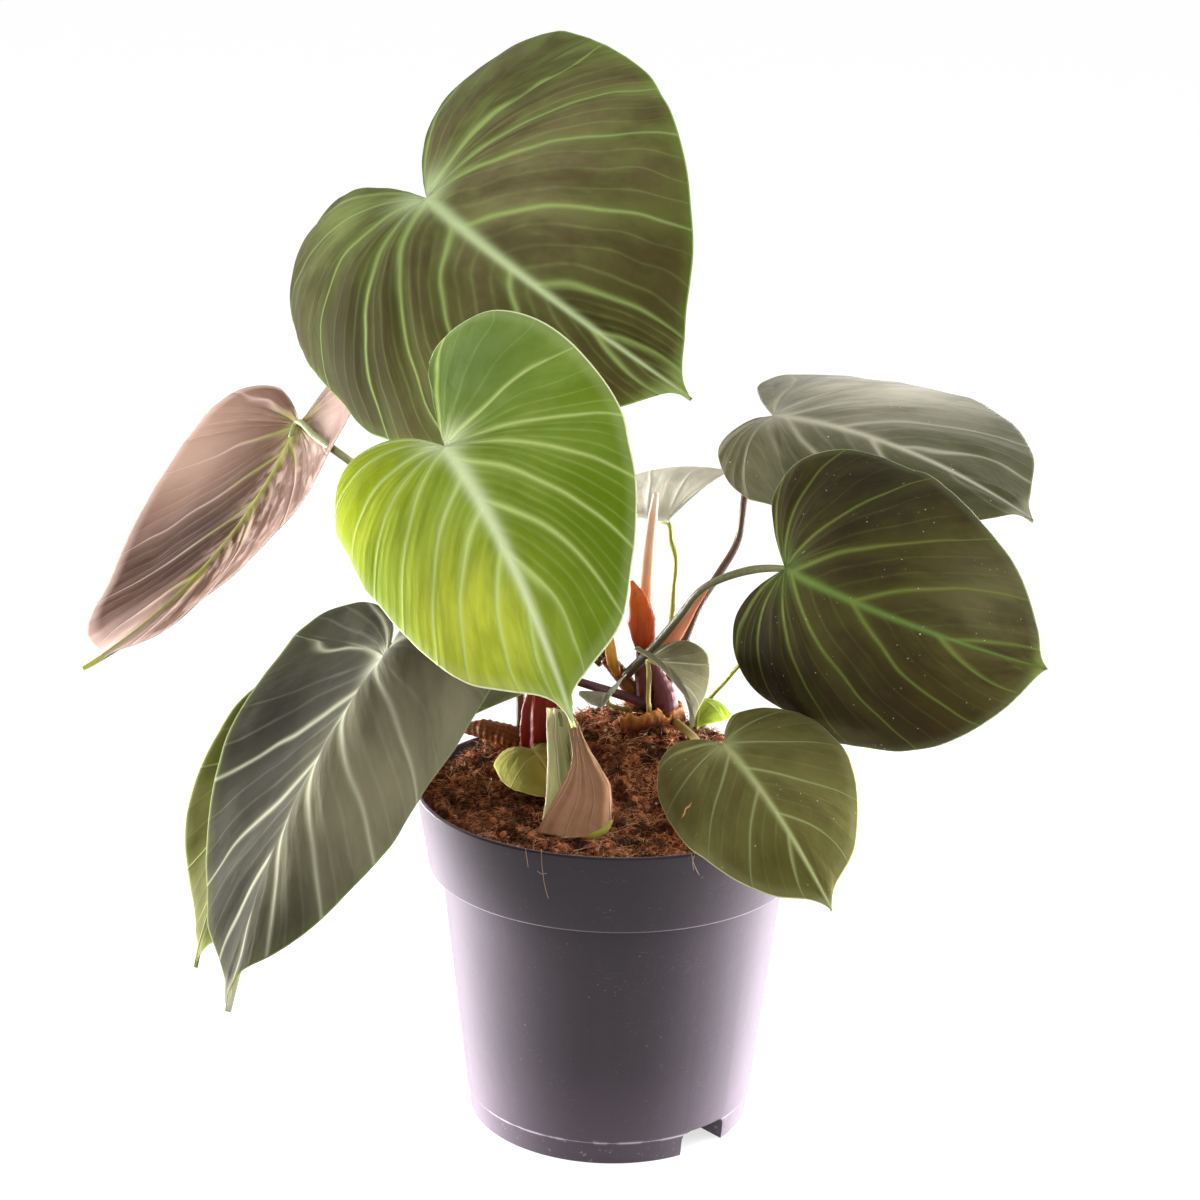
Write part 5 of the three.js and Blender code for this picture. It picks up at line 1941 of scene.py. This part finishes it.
@dataclass(frozen=True)
class Scatter:
    """One kind of thing strewn over a surface: how many to a square metre, their sizes and their seed.

    `tilt` is how far they lean, in radians, and `steepest` the least upward share of a face that they lie on.
    """

    name: str
    density: float
    smallest: float
    largest: float
    seed: int
    tilt: float = math.pi
    steepest: float = 0.25

    def tree(self) -> bpy.types.NodeTree:
        """The node tree.

        Returns:
            The tree, with named inputs for what may change.
        """
        tree = bpy.data.node_groups.new(self.name + "_scatter", "GeometryNodeTree")
        face = tree.interface
        face.new_socket("Surface", in_out="INPUT", socket_type="NodeSocketGeometry")
        for label, kind in (
            ("Shape", "NodeSocketObject"), ("Density", "NodeSocketFloat"), ("Smallest", "NodeSocketFloat"),
            ("Largest", "NodeSocketFloat"), ("Tilt", "NodeSocketFloat"), ("Seed", "NodeSocketInt"),
            ("Finish", "NodeSocketMaterial"),
        ):
            face.new_socket(label, in_out="INPUT", socket_type=kind)
        face.new_socket("Strewn", in_out="OUTPUT", socket_type="NodeSocketGeometry")
        graph = Graph(tree)
        given = graph.node("NodeGroupInput").outputs
        up = graph.node("ShaderNodeSeparateXYZ", None, {0: graph.node("GeometryNodeInputNormal").outputs[0]})
        inputs = {0: up.outputs[2], 1: self.steepest}
        facing = graph.node("FunctionNodeCompare", {"operation": "GREATER_THAN"}, inputs)
        inputs = {"Mesh": given["Surface"], "Selection": facing.outputs[0], "Density": given["Density"]}
        points = graph.node("GeometryNodeDistributePointsOnFaces", None, {**inputs, "Seed": given["Seed"]})
        inputs = {0: (-1, -1, -math.pi), 1: (1, 1, math.pi), "Seed": given["Seed"]}
        turn = graph.node("FunctionNodeRandomValue", {"data_type": "FLOAT_VECTOR"}, inputs)
        tilt = graph.node("ShaderNodeCombineXYZ", None, {0: given["Tilt"], 1: given["Tilt"], 2: 1.0})
        inputs = {0: turn.outputs[0], 1: tilt.outputs[0]}
        turned = graph.node("ShaderNodeVectorMath", {"operation": "MULTIPLY"}, inputs)
        sizes = {"Min_001": given["Smallest"], "Max_001": given["Largest"], "Seed": given["Seed"]}
        size = graph.node("FunctionNodeRandomValue", {"data_type": "FLOAT"}, sizes)
        shape = graph.node("GeometryNodeObjectInfo", None, {"Object": given["Shape"]})
        inputs = {
            "Points": points.outputs["Points"],
            "Instance": shape.outputs["Geometry"],
            "Rotation": turned.outputs[0],
            "Scale": next(s for s in size.outputs if s.identifier == "Value_001"),
        }
        placed = graph.node("GeometryNodeInstanceOnPoints", None, inputs)
        shade = graph.node("FunctionNodeRandomValue", {"data_type": "FLOAT_VECTOR"}, {"Seed": given["Seed"]})
        settings = {"data_type": "FLOAT_VECTOR", "domain": "INSTANCE"}
        inputs = {"Geometry": placed.outputs[0], "Name": "tone", "Value": shade.outputs[0]}
        toned = graph.node("GeometryNodeStoreNamedAttribute", settings, inputs)
        real = graph.node("GeometryNodeRealizeInstances", None, {0: toned.outputs[0]})
        inputs = {"Geometry": real.outputs[0], "Material": given["Finish"]}
        finished = graph.node("GeometryNodeSetMaterial", None, inputs)
        graph.node("NodeGroupOutput", None, {"Strewn": finished.outputs[0]})
        return tree

    def strew(self, surface: Object, shape: Object, finish: Material) -> Object:
        """Strews copies of a shape over a surface.

        Args:
            surface: What they lie on.
            shape: The scratch object that is copied.
            finish: Their material.

        Returns:
            One plain mesh object.
        """
        piece = add_object(self.name, surface.data.copy())
        modifier = piece.modifiers.new("scatter", "NODES")
        modifier.node_group = self.tree()
        given = {
            "Shape": shape, "Density": self.density, "Smallest": self.smallest, "Largest": self.largest,
            "Tilt": self.tilt, "Seed": self.seed, "Finish": finish,
        }
        for socket in modifier.node_group.interface.items_tree:
            if socket.in_out == "INPUT" and socket.name in given:
                modifier[socket.identifier] = given[socket.name]
        apply_modifiers(piece)
        return piece


HOLLOW_SHADE = "#160803"  # painted shade in the hollows between the crumbs


@dataclass
class Soil:
    """The coir: a rough mound, crumbs, fibres, perlite and flakes on it, and fine roots over the rim.

    `lumps` and `grit` are the size and the height of its coarse and its fine unevenness, `sink` is what they are
    lowered by, and `calm_width` is how far from the pot's wall they start in full.
    """

    rim_level: float = 101.5
    radius: float = 57.9
    inner_radius: float = 55
    strewn_radius: float = 53.5
    edge_power: float = 8
    ripple: float = 0.45
    mounds: tuple[tuple[float, float, float, float, float], ...] = ((13.5, -3, 32, 34, 21), (12, 10.5, 13, 11, 12))
    wall: tuple[Pair, ...] = ((54.4, 84.0), (50.8, 79.5), (46.0, 40.0))
    rings: int = 170
    segments: int = 300
    calm_width: float = 2.5
    lumps: Pair = (6.5, 2.0)
    grit: Pair = (2.4, 1.3)
    sink: float = 0.6

    def rise(self, x: Array, y: Array) -> Array:
        """How high the soil stands.

        Args:
            x: Places to the right.
            y: Places to the back.

        Returns:
            Heights over the rim's level, in millimetres.
        """
        ripple = np.sin(0.55 * x + 1.3) * np.cos(0.48 * y + 0.4) + np.sin(1.1 * x + 0.9 * y)
        edge = 1 - np.minimum(np.hypot(x, y) / self.inner_radius, 1) ** self.edge_power
        total = self.ripple * ripple
        for height, middle_x, middle_y, spread_x, spread_y in self.mounds:
            total = total + height * bell(x - middle_x, spread_x) * bell(y - middle_y, spread_y)
        return total * edge

    def ground(self, name: str, radius: float) -> Object:
        """The rough top, with a plain wall and floor under it where it reaches the pot.

        Args:
            name: The object's name.
            radius: How far out the top reaches, in millimetres.

        Returns:
            The object.
        """
        share = np.linspace(0, 1, self.rings + 1) ** 0.85
        angle = np.linspace(0, 2 * math.pi, self.segments + 1)
        out, turn = np.meshgrid(share * radius, angle, indexing="ij")
        x, y = out * np.cos(turn), out * np.sin(turn)
        z = self.rim_level + self.rise(x, y)
        top = np.stack([x, y, z], axis=-1)
        calm = smooth(0, self.calm_width, self.radius - out) * 0.8 + 0.2
        lumps = grain(top, self.lumps[0], 4) * self.lumps[1]
        lumps = lumps + np.abs(grain(top, self.grit[0], 3, 9.0)) * self.grit[1] - self.sink
        top[..., 2] += lumps * calm
        points = top
        if radius == self.radius:
            below = [(reach * np.cos(angle), reach * np.sin(angle), 0 * angle + z) for reach, z in self.wall]
            below.append((0 * angle, 0 * angle, 0 * angle + self.wall[-1][1]))
            points = np.concatenate([top, np.moveaxis(np.array(below), 1, -1)], axis=0)
        points[:, -1] = points[:, 0]
        points[0] = points[0, 0]
        return make_piece(name, [grid_patch(points)], [])

    @staticmethod
    def coir(name: str, codes: tuple[str, str, str], roughness: float = 0.9, gaps: float = 0.75) -> Material:
        """A crumbly finish.

        Args:
            name: The material's name.
            codes: Its dark, middle and light colours.
            roughness: How matt it is.
            gaps: How strong the painted shade in the hollows is.

        Returns:
            The material; strewn pieces read their `tone`.
        """
        material, graph = new_material(name)
        tone, other, _ = graph.values("tone")
        fine = graph.speckle(1.4, 5.0)
        crumbs = graph.layers(
            codes[0],
            ((fine.rise(0.35, 0.65) + tone * 0.8 - 0.35).least(1.0).most(0.0), codes[1]),
            (graph.speckle(0.6, 3.0).rise(0.55, 0.72) * 0.5 + other * other * 0.45, codes[2]),
            (graph.speckle(17.0, 2.0).rise(0.45, 0.62) * 0.35, codes[0]),
            # painted shade in the hollows between the crumbs
            (graph.speckle(6.5, 3.0).rise(0.52, 0.43) * gaps, HOLLOW_SHADE),
        )
        relief = graph.bump(fine + graph.speckle(0.35, 3.0) * 0.5, 0.5, 0.8)
        graph.finish({"Base Color": crumbs, "Roughness": roughness, "Normal": relief, "Specular IOR Level": 0.2})
        return material

    @staticmethod
    def fibre(name: str, bends: Sequence[Pair], length: float, radius: float) -> Object:
        """A scratch fibre, three-sided and bent.

        Args:
            name: Its name.
            bends: Sideways places along it, as shares of its length.
            length: Its length, in millimetres.
            radius: Its radius, in millimetres.

        Returns:
            The object.
        """
        places = np.linspace(-0.5, 0.5, len(bends))
        path = [(length * p, length * b, length * h) for p, (b, h) in zip(places, bends)]
        limb = Limb(path, (radius * 0.4, radius, radius, radius * 0.3), sides=3, steps=7)
        return make_piece(name, [limb.patch()], [])

    @staticmethod
    def crumb(name: str, squash: Point, seed: float) -> Object:
        """A scratch lump about 1 mm across.

        Args:
            name: Its name.
            squash: Scales its x, y and z.
            seed: Changes its form.

        Returns:
            The object.
        """
        rows, columns = 5, 7
        angles = np.linspace(0, math.pi, rows + 1), np.linspace(0, 2 * math.pi, columns + 1)
        down, around = np.meshgrid(*angles, indexing="ij")
        points = np.stack([np.sin(down) * np.cos(around), np.sin(down) * np.sin(around), np.cos(down)], axis=-1)
        points[:, -1] = points[:, 0]
        points = points * (0.5 + 0.18 * grain(points, 0.9, 2, seed))[..., None] * np.array(squash)
        return make_piece(name, [grid_patch(points)], [])

    def strewn(self, ground: Object) -> None:
        """Strews the crumbs, fibres, perlite and flakes.

        Args:
            ground: The part of the soil's top that they lie on.
        """
        curl = ((0, 0), (0.12, 0.1), (0.05, 0.2), (-0.14, 0.1), (-0.02, 0))
        hook = ((0.1, 0), (0, 0.12), (-0.05, 0.05), (0.08, 0.22), (0.25, 0.3))
        brown = self.coir("coir_crumbs", ("#7a3d22", "#cf8459", "#f0b48a"))
        tan = self.coir("coir_fibres", ("#d68a58", "#f7bf90", "#ffe6c6"), 0.75)
        dark = self.coir("coir_dark_fibres", ("#743a1e", "#bf7246", "#dc9c6c"), 0.75)
        pearl = self.coir("perlite", ("#cfc8b8", "#ece8de", "#ffffff"), 0.8, 0.0)
        bark = self.coir("bark_flakes", ("#9a6430", "#cf9654", "#e8c888"), 0.7, 0.2)
        kinds = (
            (Scatter("soil_crumbs", 140000, 0.8, 3.2, 3), self.crumb("crumb", (1, 0.8, 0.7), 1.0), brown),
            (Scatter("soil_fibres", 230000, 0.5, 1.3, 5, 0.7), self.fibre("curl", curl, 7, 0.09), tan),
            (Scatter("soil_dark_fibres", 200000, 0.5, 1.4, 8, 0.6), self.fibre("hook", hook, 6, 0.12), dark),
            (Scatter("soil_perlite", 9000, 0.7, 1.7, 12), self.crumb("grain", (1, 0.9, 0.85), 4.0), pearl),
            (Scatter("soil_flakes", 6500, 1.5, 4.0, 21, 0.5), self.crumb("flake", (1, 0.55, 0.16), 7.0), bark),
        )
        for scatter, shape, finish in kinds:
            piece = scatter.strew(ground, shape, finish)
            bpy.data.objects.remove(shape)
            deliver(piece, [])

    def roots(self) -> None:
        """Fine roots that hang over the rim."""
        paths = (
            ((-24, -52, 103.5), (-25, -56, 105.2), (-24.6, -58, 103.4), (-24.2, -57.8, 100.5)),
            ((-21, -53, 103), (-20.6, -57, 105.3), (-20.3, -59.2, 102), (-19.6, -58.4, 96), (-18.4, -57.6, 91)),
            ((-21.6, -58.2, 99.6), (-20.4, -58.7, 99), (-18.8, -59.1, 99.4)),
            ((20, -51, 103.5), (21.5, -56.4, 105.2), (22.3, -58.6, 103), (24, -57.6, 99)),
            ((24, -50, 103), (23, -55, 105), (22, -59, 103.4), (22.4, -58.9, 101)),
        )
        limbs = [Limb(path, (0.1, 0.11, 0.09, 0.05), sides=6, steps=30) for path in paths]
        paint = StemPaint(((0, "#8a6a4c"), (1, "#b39a7c")), "#5a3d28", 0.2)
        piece = make_piece("fine_roots", [limb.patch() for limb in limbs], [paint.material("fine_roots")])
        deliver(piece, [])

    def build(self) -> None:
        """Makes the soil and hangs it on the frame."""
        ground = self.ground("soil_ground", self.radius)
        ground.data.materials.append(self.coir("coir", ("#522714", "#a9643f", "#d89a6c")))
        bed = self.ground("bed", self.strewn_radius)
        self.strewn(bed)
        bpy.data.objects.remove(bed)
        deliver(ground, ["soil"])
        self.roots()


# ---- stage


@dataclass(frozen=True)
class Stage:
    """The camera, the floor and the lights."""

    target: Point = (-5.4, 0, 162.4)
    distance: float = 770
    elevation: float = 16.3
    roll: float = 1.08
    lens: float = 78
    sensor: float = 36
    clip: Pair = (0.02, 200)
    floor_size: float = 60.0
    floor_drop: float = 0.05
    floor_glow: float = 0.68
    front_light: float = 0.3
    top_light: float = 0.6
    side_light: float = 0.9

    def build(self) -> None:
        """Sets the stage."""
        self.camera()
        self.floor()
        self.world()
        for name, side, power in (("left_strip", -0.47, 2.7), ("right_strip", 0.47, 2.4)):
            self.softbox(name, (side, 0.21, 0.06), (0, 0, 0.05), (0.5, 0.14), power, 70)
        self.softbox("right_panel", (0.9, -0.1, 0.8), (0, 0, 0.16), (0.9, 0.9), 6)
        self.softbox("key", (-0.1, -0.8, 1.1), (0, 0, 0.16), (0.8, 0.8), 9)
        bpy.context.scene.view_settings.view_transform = "Standard"

    def camera(self) -> None:
        """The camera at the photograph's viewing angle."""
        tilt, roll = math.radians(self.elevation), math.radians(self.roll)
        forward = Vector((0, math.cos(tilt), -math.sin(tilt)))
        right = Vector((1, 0, 0))
        up = right.cross(forward)
        across = right * math.cos(roll) + up * math.sin(roll)
        upward = up * math.cos(roll) - right * math.sin(roll)
        eye = (Vector(self.target) - forward * self.distance) * MM
        data = bpy.data.cameras.new("camera")
        data.lens, data.sensor_width = self.lens, self.sensor
        data.clip_start, data.clip_end = self.clip
        camera = add_object("camera", data)
        turn = Matrix((across, upward, -forward)).transposed().to_4x4()
        camera.matrix_world = Matrix.Translation(eye) @ turn
        bpy.context.scene.camera = camera

    def floor(self) -> None:
        """A pale floor."""
        half = self.floor_size / 2 / MM
        corners = ((-half, -half), (half, -half), (half, half), (-half, half))
        points = np.array([(x, y, -self.floor_drop) for x, y in corners])
        material, graph = new_material("floor")
        graph.finish({
            "Base Color": colour("#b4b4b4"),
            "Roughness": 1.0,
            "Specular IOR Level": 0.0,
            "Emission Color": colour("#ffffff"),
            "Emission Strength": self.floor_glow,
        })
        make_piece("floor", [Patch(points, np.array([[0, 1, 2, 3]]))], [material])

    def world(self) -> None:
        """Surroundings that are white beside, behind and above, and dimmer on the viewer's side."""
        world = bpy.data.worlds.new("studio")
        world.use_nodes = True
        world.node_tree.nodes.clear()
        graph = Graph(world.node_tree)
        way = graph.node("ShaderNodeTexCoord").outputs["Generated"]
        parts = graph.node("ShaderNodeSeparateXYZ", None, {0: way}).outputs
        behind = Number(graph, parts[1]).rise(-0.6, 0.25)
        above = Number(graph, parts[2]).rise(0.35, 1.0)
        beside = (Number(graph, parts[0]) ** 2.0).rise(0.45, 0.85) * (1.0 - Number(graph, parts[2]).rise(0.1, 0.45))
        level = self.front_light + behind * (1.02 - self.front_light)
        strength = level + above * (self.top_light - level) + beside * self.side_light
        light = graph.node("ShaderNodeBackground", None, {"Color": (1, 1, 1, 1), "Strength": strength})
        graph.node("ShaderNodeOutputWorld", None, {"Surface": light.outputs[0]})
        bpy.context.scene.world = world

    @staticmethod
    def softbox(name: str, place: Point, target: Point, size: Pair, power: float, spread: float = 180) -> None:
        """A soft area light.

        Args:
            name: Its name.
            place: Where it stands, in metres.
            target: What it faces, in metres.
            size: Its width and height, in metres.
            power: Its power, in watts.
            spread: The angle of its beam, in degrees.
        """
        data = bpy.data.lights.new(name, "AREA")
        data.shape = "RECTANGLE"
        data.size, data.size_y = size
        data.energy = power
        data.spread = math.radians(spread)
        light = add_object(name, data)
        light.location = place
        light.visible_camera = False
        light.rotation_euler = (Vector(target) - Vector(place)).to_track_quat("-Z", "Y").to_euler()


# ---- the whole


def main() -> None:
    """Builds the plant on its frame."""
    logging.basicConfig(level=logging.INFO, format="%(name)s: %(message)s")
    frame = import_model()
    LOG.info("frame: %d nodes", len(frame["nodes"]))
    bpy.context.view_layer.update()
    Stage().build()
    Pot().build()
    Soil().build()
    Shoots().build()
    DriedSheath().build()
    RolledLeaf().build()
    every = leaves()
    for leaf in every:
        leaf.build()
    Litter().build(every)


if __name__ == "__main__":
    main()
